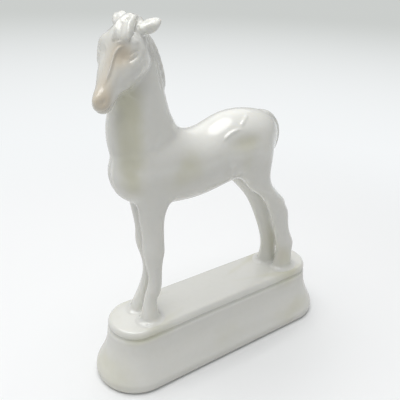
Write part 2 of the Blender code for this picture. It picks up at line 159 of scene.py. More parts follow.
@dataclass(frozen=True)
class Loft:
    """Cast form skinned over a row of sections.

    A section is an ellipse whose front and back halves differ: centre + side * width * (1 + egg sin a) cos a
    + front * reach * sin a, where reach is that of the front half while sin a is above 0. Directions and egg
    may be the same for all sections.
    """

    centre: np.ndarray
    front_way: np.ndarray
    side_way: np.ndarray
    half_width: np.ndarray
    front: np.ndarray
    back: np.ndarray
    egg: np.ndarray | float = 0.0
    sides: int = 12

    def cage(self) -> np.ndarray:
        """Control points of the sections, set out a little, because the spline runs inside its cage.

        Returns:
            Points indexed by section and place around it.
        """
        angle = 2.0 * np.pi * np.arange(self.sides) / self.sides
        across, deep = np.cos(angle), np.sin(angle)
        stretch = 6.0 / (4.0 + 2.0 * math.cos(2.0 * math.pi / self.sides))
        front_way, side_way = (np.broadcast_to(way, self.centre.shape) for way in (self.front_way, self.side_way))
        egg = np.broadcast_to(self.egg, len(self.centre))
        wide = (self.half_width[:, None] * (1.0 + egg[:, None] * deep)) * stretch * across
        reach = np.where(deep > 0.0, self.front[:, None], self.back[:, None])
        return (self.centre[:, None] + side_way[:, None] * wide[..., None]
                + front_way[:, None] * (reach * deep * stretch)[..., None])

    def surface(self, along: int, around: int) -> np.ndarray:
        """Grid of points of the bicubic B-spline through the cage.

        Args:
            along: Places per span between two sections.
            around: Places per span around a section.

        Returns:
            Points indexed by place along and place around.
        """
        lengthwise = spline_weights(along, len(self.centre) - 1, closed=False)
        crosswise = spline_weights(around, self.sides, closed=True)
        return np.einsum("ij,jkc,lk->ilc", lengthwise, extended(self.cage()), crosswise)


def facing_out(points: np.ndarray, faces: np.ndarray) -> np.ndarray:
    """Triangles of a closed surface, all turned over if the volume that they enclose is negative.

    Args:
        points: Points of the surface.
        faces: Its triangles, all facing out or all facing in.

    Returns:
        The triangles facing out.
    """
    corner = points[faces] - points.mean(0)
    volume = np.einsum("ij,ij->", corner[:, 0], np.cross(corner[:, 1], corner[:, 2]))
    return faces[:, ::-1] if volume < 0.0 else faces


def shell(grid: np.ndarray) -> tuple[np.ndarray, np.ndarray]:
    """Close a tube grid with a fan at each end, faces outwards.

    Args:
        grid: Points indexed by place along and place around.

    Returns:
        Points, and triangles as rows of point numbers.
    """
    rows, columns, _ = grid.shape
    points = np.concatenate([grid.reshape(-1, 3), grid[0].mean(0)[None], grid[-1].mean(0)[None]])
    i, j = np.meshgrid(np.arange(rows - 1) * columns, np.arange(columns), indexing="ij")
    after = (j + 1) % columns
    a, b, c, d = i + j, i + after, i + columns + after, i + columns + j
    sides = np.concatenate([np.stack([a, b, c], -1).reshape(-1, 3), np.stack([a, c, d], -1).reshape(-1, 3)])
    ring = np.arange(columns)
    turn = (ring + 1) % columns
    last = (rows - 1) * columns
    first_cap = np.stack([np.full(columns, rows * columns), turn, ring], -1)
    last_cap = np.stack([np.full(columns, rows * columns + 1), last + ring, last + turn], -1)
    return points, facing_out(points, np.concatenate([sides, first_cap, last_cap]))


def nearest(points: np.ndarray, spots: np.ndarray) -> np.ndarray:
    """Find the spot that is nearest to each point: the one with the least |q|^2 - 2 p . q.

    Args:
        points: Points that look for a spot.
        spots: Spots to choose from.

    Returns:
        The number of a spot for each point.
    """
    middle = spots.mean(0)
    p, q = (((values - middle) / MM).astype(np.float32) for values in (points, spots))
    own = np.einsum("ij,ij->i", q, q)
    result = np.empty(len(p), np.int64)
    at_once = 20_000_000
    for part in np.array_split(np.arange(len(p)), max(1, len(p) * len(q) // at_once)):
        result[part] = np.argmin(own - 2.0 * (p[part] @ q.T), axis=1)
    return result


def distance_to(points: np.ndarray, grid: np.ndarray, far: float = 3.0 * MM) -> np.ndarray:
    """Signed distance of points from a closed tube grid, negative inside.

    It is measured along the normal of the nearest place of the grid: (p - q) . n.

    Args:
        points: Points to measure.
        grid: Closed tube, indexed by place along and place around.
        far: Value for points outside the tube's box grown by this much.

    Returns:
        One distance for each point.
    """
    around = np.roll(grid, -1, axis=1) - np.roll(grid, 1, axis=1)
    normal = np.cross(around, np.gradient(grid, axis=0)).reshape(-1, 3)
    normal /= np.maximum(np.linalg.norm(normal, axis=1, keepdims=True), 1e-12)
    spot = grid.reshape(-1, 3)
    outward = (grid - grid.mean(axis=1, keepdims=True)).reshape(-1, 3)
    if np.einsum("ij,ij->", outward, normal) < 0.0:
        normal = -normal
    spot = np.concatenate([spot, grid[0].mean(0)[None], grid[-1].mean(0)[None]])
    ends = np.stack([grid[0].mean(0) - grid[1].mean(0), grid[-1].mean(0) - grid[-2].mean(0)])
    normal = np.concatenate([normal, ends / np.linalg.norm(ends, axis=1, keepdims=True)])
    result = np.full(len(points), far)
    near = np.flatnonzero(np.all((points > spot.min(0) - far) & (points < spot.max(0) + far), axis=1))
    if len(near):
        pick = nearest(points[near], spot)
        result[near] = np.einsum("ij,ij->i", points[near] - spot[pick], normal[pick])
    return result


# ---------- The fused skin ----------


def mesh_from(name: str, points: np.ndarray, faces: np.ndarray) -> bpy.types.Mesh:
    """Put points and faces into a new mesh with smooth shading.

    Args:
        name: Name of the mesh.
        points: Its points.
        faces: Rows of point numbers, all of one length.

    Returns:
        The mesh.
    """
    mesh = bpy.data.meshes.new(name)
    sides = faces.shape[1]
    mesh.vertices.add(len(points))
    mesh.vertices.foreach_set("co", np.ascontiguousarray(points, np.float32).ravel())
    mesh.loops.add(faces.size)
    mesh.loops.foreach_set("vertex_index", np.ascontiguousarray(faces, np.int32).ravel())
    mesh.polygons.add(len(faces))
    mesh.polygons.foreach_set("loop_start", np.arange(0, faces.size, sides, dtype=np.int32))
    mesh.polygons.foreach_set("use_smooth", np.ones(len(faces), bool))
    mesh.update(calc_edges=True)
    return mesh


def values_of(items: bpy.types.bpy_prop_collection, name: str, columns: int, kind: type) -> np.ndarray:
    """Read one value of every item of a mesh, such as the place of each point.

    Args:
        items: Points, corners or faces of a mesh.
        name: Blender's name of the value.
        columns: How many numbers each item has.
        kind: Type of the numbers.

    Returns:
        One row for each item.
    """
    flat = np.empty(len(items) * columns, kind)
    items.foreach_get(name, flat)
    return flat.reshape(-1, columns)


def keep_tints(mesh: bpy.types.Mesh, tints: np.ndarray) -> None:
    """Store the pooling of the glaze, and the ochre and peach of stains and painted shade, as attributes of the
    points.

    Args:
        mesh: Mesh that gets the attributes.
        tints: One row for each point.
    """
    for column, name in enumerate(("glaze_pool", "glaze_ochre", "glaze_peach")):
        values = np.ascontiguousarray(tints[:, column], np.float32)
        mesh.attributes.new(name, "FLOAT", "POINT").data.foreach_set("value", values)


@dataclass
class Skin:
    """Triangulated skin of the fused figure, or of a part of it."""

    points: np.ndarray
    faces: np.ndarray
    normals: np.ndarray
    tints: np.ndarray
    neighbour: np.ndarray = field(init=False, repr=False)
    count: np.ndarray = field(init=False, repr=False)
    start: np.ndarray = field(init=False, repr=False)

    @classmethod
    def fuse(cls, shells: Sequence[tuple[np.ndarray, np.ndarray]], voxel: float) -> Skin:
        """Join overlapping shells into one skin by remeshing them on a grid of small cubes.

        Args:
            shells: Points and triangles of each closed shell.
            voxel: Edge of a cube.

        Returns:
            The skin of their union.
        """
        start = np.cumsum([0] + [len(points) for points, _ in shells])
        points = np.concatenate([points for points, _ in shells])
        faces = np.concatenate([faces + first for (_, faces), first in zip(shells, start)])
        mesh = mesh_from("unfused", points, faces)
        thing = bpy.data.objects.new("unfused", mesh)
        bpy.context.scene.collection.objects.link(thing)
        remesh = thing.modifiers.new("Fuse", "REMESH")
        remesh.mode = "VOXEL"
        remesh.voxel_size = voxel
        remesh.adaptivity = 0.0
        fused = bpy.data.meshes.new_from_object(thing.evaluated_get(bpy.context.evaluated_depsgraph_get()))
        bpy.data.objects.remove(thing)
        bpy.data.meshes.remove(mesh)
        fused.calc_loop_triangles()
        points = values_of(fused.vertices, "co", 3, np.float32).astype(float)
        faces = values_of(fused.loop_triangles, "vertices", 3, np.int32).astype(np.int64)
        bpy.data.meshes.remove(fused)
        skin = cls(points, facing_out(points, faces), np.zeros((0, 3)), np.zeros((0, 3)))
        skin.link()
        return skin

    def number_edges(self, pairs: np.ndarray) -> tuple[np.ndarray, np.ndarray, np.ndarray]:
        """Give a number to every different edge among pairs of points.

        Args:
            pairs: Rows of two point numbers.

        Returns:
            The lower point of each edge, its higher point, and the number of the edge of each pair.
        """
        total = len(self.points)
        keys, number = np.unique(pairs.min(1) * total + pairs.max(1), return_inverse=True)
        return *np.divmod(keys, total), number.ravel()

    def sides(self) -> np.ndarray:
        """The three sides of every triangle, as rows of two point numbers."""
        return np.concatenate([self.faces[:, [0, 1]], self.faces[:, [1, 2]], self.faces[:, [2, 0]]])

    def link(self) -> None:
        """Work out which points are neighbours, for middle."""
        first, second, _ = self.number_edges(self.sides())
        source = np.concatenate([first, second])
        self.neighbour = np.concatenate([second, first])[np.argsort(source, kind="stable")]
        self.count = np.bincount(source, minlength=len(self.points)).astype(np.float32)
        self.start = np.concatenate([[0], np.cumsum(self.count.astype(np.int64))[:-1]])

    def refine(self, chosen: np.ndarray) -> None:
        """Halve each edge between two chosen points, so that fine carving has points to move.

        A triangle with three halved edges becomes four, and one with a single halved edge becomes two.

        Args:
            chosen: True for each point of the region.
        """
        count = chosen[self.faces].sum(1)
        whole, part = self.faces[count == 3], self.faces[count == 2]
        row = np.arange(len(part))
        lone = np.argmin(chosen[part], axis=1)
        a, b, c = (part[row, (lone + step) % 3] for step in range(3))
        pairs = np.concatenate([whole[:, [0, 1]], whole[:, [1, 2]], whole[:, [2, 0]], np.stack([b, c], -1)])
        first, second, number = self.number_edges(pairs)
        halves = len(self.points) + number
        ab, bc, ca = (halves[len(whole) * step: len(whole) * (step + 1)] for step in range(3))
        half = halves[3 * len(whole):]
        self.faces = np.concatenate([
            self.faces[count < 2], np.stack([whole[:, 0], ab, ca], -1), np.stack([ab, whole[:, 1], bc], -1),
            np.stack([ca, bc, whole[:, 2]], -1), np.stack([ab, bc, ca], -1),
            np.stack([a, b, half], -1), np.stack([a, half, c], -1)])
        self.points = np.concatenate([self.points, (self.points[first] + self.points[second]) / 2.0])
        self.link()

    def middle(self, values: np.ndarray) -> np.ndarray:
        """Mean of each point's neighbours."""
        total = np.add.reduceat(values[self.neighbour], self.start, axis=0)
        return total / (self.count[:, None] if values.ndim == 2 else self.count)

    def relax(self, rounds: int, share: np.ndarray | float) -> None:
        """Move each point towards the mean of its neighbours, so that joints fill up as glaze does.

        Args:
            rounds: How many times.
            share: Part of the way that a point moves, one number or one for each point.
        """
        weight = share[:, None].astype(np.float32) if isinstance(share, np.ndarray) else np.float32(share)
        points = self.points.astype(np.float32)
        for _ in range(rounds):
            points += (self.middle(points) - points) * weight
        self.points = points.astype(float)

    def shade(self) -> None:
        """Work out the normals of the points: the sum of the area vectors of their faces."""
        corner = self.points[self.faces]
        area = np.cross(corner[:, 1] - corner[:, 0], corner[:, 2] - corner[:, 0])
        total = np.zeros_like(self.points)
        for axis in range(3):
            for place in range(3):
                total[:, axis] += np.bincount(self.faces[:, place], area[:, axis], len(self.points))
        self.normals = total / np.maximum(np.linalg.norm(total, axis=1, keepdims=True), 1e-15)

    def gather_glaze(self, reach: int) -> None:
        """Find where glaze pools: how far the mean of the neighbours stands proud of a smoothed point.

        Args:
            reach: Rounds of averaging, which set the size of hollow that counts.
        """
        smoothed = self.points.copy()
        for _ in range(reach):
            smoothed += (self.middle(smoothed) - smoothed) * 0.6
        lift = np.einsum("ij,ij->i", smoothed - self.points, self.normals)
        for _ in range(3):
            lift = self.middle(lift)
        self.tints = np.column_stack([lift, np.zeros((len(lift), 2))])

    def cut(self, value: np.ndarray) -> tuple[Skin, Skin]:
        """Part the skin along the line where a value over its points is zero.

        Triangles that the line crosses are cut at the places on their edges where the value is zero.

        Args:
            value: One number for each point.

        Returns:
            The skin where the value is below zero, and the rest.
        """
        tiny = 1e-8
        value = np.where(np.abs(value) < tiny, tiny, value)
        low = value < 0.0
        count = low[self.faces].sum(1)
        mixed = (count == 1) | (count == 2)
        triangle = self.faces[mixed]
        lone_low = count[mixed] == 1
        lone = np.argmax(low[triangle] == lone_low[:, None], axis=1)
        row = np.arange(len(triangle))
        a, b, c = (triangle[row, (lone + step) % 3] for step in range(3))
        first, second, number = self.number_edges(np.concatenate([np.stack([a, b], -1), np.stack([a, c], -1)]))
        share = (value[first] / (value[first] - value[second]))[:, None]
        points, normals, tints = (np.concatenate([rows, rows[first] * (1 - share) + rows[second] * share])
                                  for rows in (self.points, self.normals, self.tints))
        whole = Skin(points, self.faces, normals, tints)
        ab, ac = np.split(len(self.points) + number, 2)
        tip = np.stack([a, ab, ac], -1)
        rest = np.concatenate([np.stack([ab, b, c], -1), np.stack([ab, c, ac], -1)])
        twice = np.concatenate([lone_low, lone_low])
        below = np.concatenate([self.faces[count == 3], tip[lone_low], rest[~twice]])
        above = np.concatenate([self.faces[count == 0], tip[~lone_low], rest[twice]])
        return whole.with_faces(below), whole.with_faces(above)

    def with_faces(self, faces: np.ndarray) -> Skin:
        """A skin of some faces, with only the points that they use."""
        used, faces = np.unique(faces, return_inverse=True)
        return Skin(self.points[used], faces.reshape(-1, 3), self.normals[used], self.tints[used])

    def trimmed(self) -> Skin:
        """Leave out the slivers that hang on the skin by one edge, because a cap would double them.

        Returns:
            The skin without them.
        """
        skin = self
        while True:
            _, _, number = skin.number_edges(skin.sides())
            bare = np.bincount(number)[number] == 1
            loose = bare.reshape(3, -1).sum(0) > 1
            if not loose.any():
                return skin
            skin = skin.with_faces(skin.faces[~loose])

    def closed_mesh(self, name: str) -> bpy.types.Mesh:
        """Make a mesh, close its cut seams with caps, and keep the fused normals on the skin.

        Args:
            name: Name of the mesh.

        Returns:
            A closed mesh with the attributes of the glaze's pooling and of its stains and painted shade.
        """
        skin = self.trimmed()
        mesh = mesh_from(name, skin.points, skin.faces)
        keep_tints(mesh, skin.tints)
        work = bmesh.new()
        work.from_mesh(mesh)
        bmesh.ops.holes_fill(work, edges=[edge for edge in work.edges if edge.is_boundary], sides=0)
        bmesh.ops.triangulate(work, faces=[face for face in work.faces if len(face.verts) > 3])
        work.to_mesh(mesh)
        work.free()
        normals = skin.normals[values_of(mesh.loops, "vertex_index", 1, np.int32).ravel()]
        caps = slice(len(skin.faces) * 3, None)
        normals[caps] = np.repeat(values_of(mesh.polygons, "normal", 3, np.float32), 3, axis=0)[caps]
        mesh.normals_split_custom_set(normals.tolist())
        return mesh


# ---------- Carving ----------


@dataclass(frozen=True)
class StainAndShade:
    """Patch of warm stain and painted shade: amount * exp(-(x/rx)^2 - (y/ry)^2 - (z/rz)^2), on both sides of the
    foal.

    Sizes are in millimetres.
    """

    hue: Hue
    centre: Triple
    radii: Triple
    amount: float

    def colour(self, points: np.ndarray, tints: np.ndarray) -> None:
        """Add the patch to the tints of the points.

        Args:
            points: Places of the points.
            tints: Their tints, which change.
        """
        # Adds warm stain together with painted shade to the tints.
        for side in Side:
            local = (points / MM - np.array(self.centre) * (1.0, side.value, 1.0)) / np.array(self.radii)
            tints[:, self.hue.value] += self.amount * np.exp(-np.einsum("ij,ij->i", local, local))


class Carving(ABC):
    """One step of the carving."""

    @abstractmethod
    def apply(self, skin: Skin) -> None:
        """Carve the skin."""


@dataclass(frozen=True)
class Fillet(Carving):
    """Foot of a leg that spreads over the slab.

    Points move away from the foot's middle by r - sqrt(r^2 - (r - h)^2), where h is their height over the slab.
    """

    middle: np.ndarray
    side: Side
    radius: float = 1.9 * MM
    reach: float = 7.5 * MM
    parting: tuple[float, float] = (0.3 * MM, 4.0 * MM)

    def apply(self, skin: Skin) -> None:
        """Spread the foot, but not towards the other foot beside it."""
        offset = skin.points - self.middle
        distance = np.hypot(offset[:, 0], offset[:, 1])
        left = self.radius - np.clip(offset[:, 2], 0.0, self.radius)
        spread = self.radius - np.sqrt(self.radius**2 - left**2)
        own = smooth_step(skin.points[:, 1] * self.side.value, *self.parting)
        keep = own * (1.0 - smooth_step(distance, self.reach, 1.5 * self.reach)) * (offset[:, 2] > 0.0)
        skin.points[:, :2] += (spread * keep / np.maximum(distance, 1e-6))[:, None] * offset[:, :2]


@dataclass(frozen=True)
class Dent(Carving):
    """Rounded hollow or swelling.

    It moves points by lift * exp(-(x/rx)^2 - (y/ry)^2 - (z/rz)^2), one way or else along their normals.
    """

    centre: np.ndarray
    axes: np.ndarray
    radii: Triple
    lift: float
    way: np.ndarray | None = None

    def apply(self, skin: Skin) -> None:
        """Push the skin in or out around the centre."""
        local = (skin.points - self.centre) @ self.axes.T / np.array(self.radii)
        amount = self.lift * np.exp(-np.einsum("ij,ij->i", local, local))
        skin.points += amount[:, None] * (skin.normals if self.way is None else self.way)


@dataclass(frozen=True)
class Line(Carving):
    """Ridge or groove along a path, which fades out at its ends.

    It moves points along their normals by lift * exp(-(d/radius)^2), where d is the distance to the path after
    the path is laid on the skin.
    """

    path: np.ndarray
    radius: float
    lift: float
    fade: tuple[float, float]
    places: int = 16
    smoothing: int = 6
    margin: float = 4.0 * MM

    def route(self, skin: Skin) -> np.ndarray:
        """Draw a smooth curve through the path and lay it on the nearest points of the skin.

        Args:
            skin: Skin that the path lies on.

        Returns:
            Points along the curve.
        """
        curve = smooth_curve(self.path, np.linspace(0.0, len(self.path) - 1.0, self.places * len(self.path)))
        low, high = curve.min(0) - self.margin, curve.max(0) + self.margin
        near = skin.points[np.all((skin.points > low) & (skin.points < high), axis=1)]
        if len(near) == 0:
            return curve
        laid = near[nearest(curve, near)]
        for _ in range(self.smoothing):
            laid[1:-1] = (laid[:-2] + 2 * laid[1:-1] + laid[2:]) / 4.0
        return laid

    def apply(self, skin: Skin) -> None:
        """Raise or sink the skin along the path."""
        curve = self.route(skin)
        low, high = curve.min(0) - 3 * self.radius, curve.max(0) + 3 * self.radius
        near = np.flatnonzero(np.all((skin.points > low) & (skin.points < high), axis=1))
        if len(near) == 0:
            return
        pick = nearest(skin.points[near], curve)
        gap = np.linalg.norm(skin.points[near] - curve[pick], axis=1)
        place = pick / (len(curve) - 1.0)
        ends = smooth_step(place, 0.0, self.fade[0]) * smooth_step(1.0 - place, 0.0, self.fade[1])
        amount = self.lift * ends * np.exp(-((gap / self.radius) ** 2))
        skin.points[near] += amount[:, None] * skin.normals[near]


@dataclass(frozen=True)
class Soften(Carving):
    """Angle that the glaze fills.

    Points near a path move to the mean of their neighbours by share * exp(-(d/radius)^2) in each round.
    """

    path: np.ndarray
    radius: float
    rounds: int
    share: float = 0.9

    def apply(self, skin: Skin) -> None:
        """Smooth the skin along the path."""
        gap = np.linalg.norm(skin.points - self.path[nearest(skin.points, self.path)], axis=1)
        skin.relax(self.rounds, self.share * np.exp(-((gap / self.radius) ** 2)))


@dataclass(frozen=True)
class Swell:
    """Swelling or hollow of a table, in millimetres. Its lift may differ on the right side.

    It goes one way, or else along the normals.
    """

    centre: Triple
    radii: Triple
    lift: float
    right_lift: float | None = None
    way: np.ndarray | None = None


@dataclass(frozen=True)
class Ridge:
    """Ridge or groove of a table, in millimetres. Its lift may differ on the right side."""

    path: Rows
    radius: float
    lift: float
    fade: tuple[float, float] = (0.3, 0.3)
    right_lift: float | None = None


Relief = Sequence[Swell | Ridge]


@dataclass(frozen=True)
class Bench:
    """Frame in which a form is carved, with the column of its tables that changes sign on the right side."""

    origin: np.ndarray
    axes: np.ndarray
    mirrored: int

    def path(self, rows: Rows, side: Side = Side.LEFT) -> np.ndarray:
        """Turn rows of a table to points of the scene.

        Args:
            rows: One row for each point, in millimetres.
            side: Side of the form.

        Returns:
            The points in metres.
        """
        turned = np.ones(3)
        turned[self.mirrored] = side.value
        return self.origin + (np.array(rows, float) * turned * MM) @ self.axes

    def carve(self, table: Relief, side: Side = Side.LEFT) -> list[Carving]:
        """Make the carvings of a table on one side.

        Args:
            table: Rows in millimetres.
            side: Side of the form.

        Returns:
            One carving for each row that has a lift on that side.
        """
        made: list[Carving] = []
        for row in table:
            lift = MM * (row.lift if row.right_lift is None else side.pick(row.lift, row.right_lift))
            if lift and isinstance(row, Swell):
                centre, radii = self.path([row.centre], side)[0], tuple(radius * MM for radius in row.radii)
                made.append(Dent(centre, self.axes, radii, lift, row.way))
            elif lift:
                made.append(Line(self.path(row.path, side), row.radius * MM, lift, row.fade))
        return made

    def both(self, table: Relief) -> list[Carving]:
        """Make the carvings of a table on both sides."""
        return [carving for side in Side for carving in self.carve(table, side)]


BODY = Bench(np.zeros(3), np.eye(3), 1)
ACROSS_VIEW = FORWARD * 0.81 - LEFTWARD * 0.58


# ---------- The cast forms ----------


@dataclass(frozen=True)
class Stance:
    """Sizes and places that several forms share."""

    plinth_height: float = 0.030
    body_length: float = 0.084
    barrel_width: float = 0.0272
    barrel_depth: float = 0.0320
    barrel_height: float = 0.0725
    stance_length: float = 0.0802
    stance_width: float = 0.0094
    hind_stride: float = 0.0034
    buttock: float = -0.357
    neck_place: float = 0.8
    fore_seam: float = 0.735
    hind_seam: float = 0.775

    @property
    def axis_height(self) -> float:
        """Height of the trunk's axis over the floor."""
        return self.plinth_height + self.barrel_height

    @property
    def rump_x(self) -> float:
        """X of the buttock."""
        return self.buttock * self.body_length

    @property
    def neck_foot(self) -> np.ndarray:
        """Where the neck's axis meets the trunk's."""
        return np.array([self.rump_x + self.neck_place * self.body_length, 0.0, self.axis_height])

    def on_trunk(self, along: np.ndarray, rise: np.ndarray) -> np.ndarray:
        """Points given by parts of the body's length from the buttock and of its depth over the axis."""
        return (FORWARD * (self.rump_x + along * self.body_length)[:, None]
                + UPWARD * (self.axis_height + rise * self.barrel_depth)[:, None])

    def seam(self, gait: Gait) -> float:
        """Height of the level seam above the elbows or the gaskins."""
        share = self.fore_seam if gait is Gait.FORE else self.hind_seam
        return self.plinth_height + share * self.barrel_height


@dataclass(frozen=True)
class Trunk:
    """Barrel, rump and breast."""

    stance: Stance
    table: Rows = (
        (0.018, 0.02, -14.0, 0.26, 0.16, 0.20),
        (0.046, 0.03, -12.0, 0.54, 0.29, 0.35),
        (0.112, 0.05, -8.0, 0.82, 0.405, 0.45),
        (0.200, 0.05, -3.0, 1.00, 0.49, 0.47),
        (0.310, 0.04, 0.0, 1.03, 0.51, 0.48),
        (0.400, 0.01, 0.0, 0.95, 0.50, 0.515),
        (0.490, -0.03, 0.0, 0.92, 0.405, 0.54),
        (0.590, -0.05, 0.0, 0.98, 0.425, 0.53),
        (0.690, -0.05, 0.0, 1.00, 0.490, 0.51),
        (0.790, -0.02, 0.0, 0.97, 0.53, 0.51),
        (0.885, 0.00, 4.0, 0.86, 0.43, 0.47),
        (0.950, -0.03, 4.0, 0.68, 0.31, 0.37),
        (0.985, -0.04, 4.0, 0.44, 0.20, 0.25),
        (1.000, -0.04, 4.0, 0.18, 0.08, 0.10),
    )
    swells: Relief = (
        Swell((27.0, 13.2, 104.0), (5.5, 5.0, 9.0), -0.85),    # hollow behind the shoulder
        Swell((42.0, 11.0, 106.0), (5.0, 4.0, 11.0), 0.55),    # shoulder
        Swell((50.6, 7.2, 112.0), (3.6, 3.0, 11.0), -0.75),    # hollow between breast and shoulder
        Swell((13.0, 12.6, 104.0), (8.0, 5.0, 8.0), 0.30),     # barrel
        Swell((-3.0, 12.2, 108.8), (8.5, 4.0, 3.6), -1.05),    # hollow under the hip
        Swell((-13.5, 13.2, 101.0), (5.5, 4.0, 10.0), 0.45),   # thigh
        Swell((6.8, 12.6, 97.5), (3.0, 4.0, 5.0), -0.55),      # flank
        Swell((-6.0, 12.4, 96.5), (3.0, 4.0, 4.0), -0.30),     # fold inside the stifle
    )
    midline: Relief = (
        Swell((54.0, 0.0, 107.0), (5.0, 4.2, 9.0), 0.5),       # breast
        Ridge(((55.5, 0.0, 112.0), (56.0, 0.0, 106.0), (54.0, 0.0, 99.0), (50.0, 0.0, 94.0)), 1.1, -0.40),
        Swell((25.0, 0.0, 117.0), (5.5, 7.0, 5.0), 1.2, way=UPWARD),   # withers
    )
    ridges: Relief = (
        Ridge(((8.4, 10.4, 110.2), (5.1, 9.8, 112.3), (3.0, 9.8, 113.3), (0.0, 9.9, 114.1), (-3.6, 10.4, 114.0)),
              0.70, 0.42, (0.25, 0.35)),    # hip
        Ridge(((-8.5, 5.8, 118.4), (-6.6, 6.7, 117.8), (-3.5, 8.6, 116.2), (-1.4, 9.7, 114.8)),
              0.8, 0.32, (0.35, 0.35)),     # croup
        Ridge(((3.4, 12.8, 101.5), (3.8, 12.7, 98.5), (2.6, 12.2, 95.0), (0.0, 11.2, 91.5)),
              1.5, 0.45, (0.35, 0.35)),     # flank
        Ridge(((36.0, 7.6, 121.0), (38.6, 9.2, 116.5), (41.5, 10.4, 111.0), (44.0, 10.8, 104.0)),
              1.6, 0.22, (0.35, 0.35)),     # shoulder blade
    )

    def loft(self) -> Loft:
        """Skin the sections of the table: part of the length, rise, lean, half width, up, down.

        Returns:
            The trunk's form.
        """
        along, rise, tilt, wide, above, below = np.array(self.table).T
        s = self.stance
        return Loft(s.on_trunk(along, rise), lean(tilt), LEFTWARD, wide * s.barrel_width / 2.0,
                    above * s.barrel_depth, below * s.barrel_depth, sides=16)

    def muscles(self) -> list[Carving]:
        """Broad swellings and hollows of both sides, and those along the middle."""
        return BODY.both(self.swells) + BODY.carve(self.midline)

    def creases(self) -> list[Carving]:
        """Ridges that catch the light, on both sides."""
        return BODY.both(self.ridges)


@dataclass(frozen=True)
class Neck:
    """Neck from the withers to the poll."""

    stance: Stance
    length: float = 0.052
    width: float = 0.0175
    depth: float = 0.0245
    table: Rows = (
        (-0.04, -0.02, 95.0, 1.00, 0.50, 0.50, 0.0),
        (0.09, 0.00, 95.0, 1.16, 0.60, 0.58, 0.0),
        (0.25, 0.04, 93.0, 1.12, 0.635, 0.64, 0.08),
        (0.38, 0.065, 92.0, 0.98, 0.59, 0.535, 0.12),
        (0.53, 0.075, 94.0, 0.88, 0.47, 0.455, 0.15),
        (0.70, 0.070, 102.0, 0.80, 0.37, 0.375, 0.15),
        (0.84, 0.075, 112.0, 0.72, 0.32, 0.29, 0.10),
        (0.95, 0.105, 124.0, 0.58, 0.22, 0.15, 0.0),
    )
    cords: Relief = (
        Ridge(((48.0, 4.6, 138.0), (49.6, 5.2, 130.0), (50.0, 6.2, 123.0), (49.4, 8.0, 114.0), (48.6, 9.4, 105.0),
               (46.8, 10.6, 97.0)), 3.2, -0.95, (0.3, 0.2)),    # furrow beside the windpipe
        Ridge(((40.6, 6.6, 139.0), (42.6, 7.4, 131.0), (44.4, 8.3, 124.0), (45.0, 9.2, 117.0)), 2.6, 0.35),
    )
    seam_height: float = 0.225
    seam_slope: float = 12.0

    def on_axis(self, up: np.ndarray | float, ahead: np.ndarray | float) -> np.ndarray:
        """Point given by parts of the neck's length upwards and forwards of its foot."""
        return (self.stance.neck_foot + UPWARD * (np.asarray(up) * self.length)[..., None]
                + FORWARD * (np.asarray(ahead) * self.length)[..., None])

    def loft(self) -> Loft:
        """Skin the sections of the table: part of the length, forward offset, tilt, half width, throat, crest, egg.

        Returns:
            The neck's form.
        """
        up, ahead, tilt, wide, throat, crest, egg = np.array(self.table).T
        return Loft(self.on_axis(up, ahead), lean(tilt), LEFTWARD, wide * self.width / 2.0,
                    throat * self.depth, crest * self.depth, egg)

    def muscles(self) -> list[Carving]:
        """Furrow along the windpipe and the swelling behind it, on both sides."""
        return BODY.both(self.cords)

    def seam_value(self, points: np.ndarray) -> np.ndarray:
        """Height of points over the sloping seam between trunk and neck."""
        angle = math.radians(self.seam_slope)
        return (points - self.on_axis(self.seam_height, 0.0)) @ np.array([math.sin(angle), 0.0, math.cos(angle)])


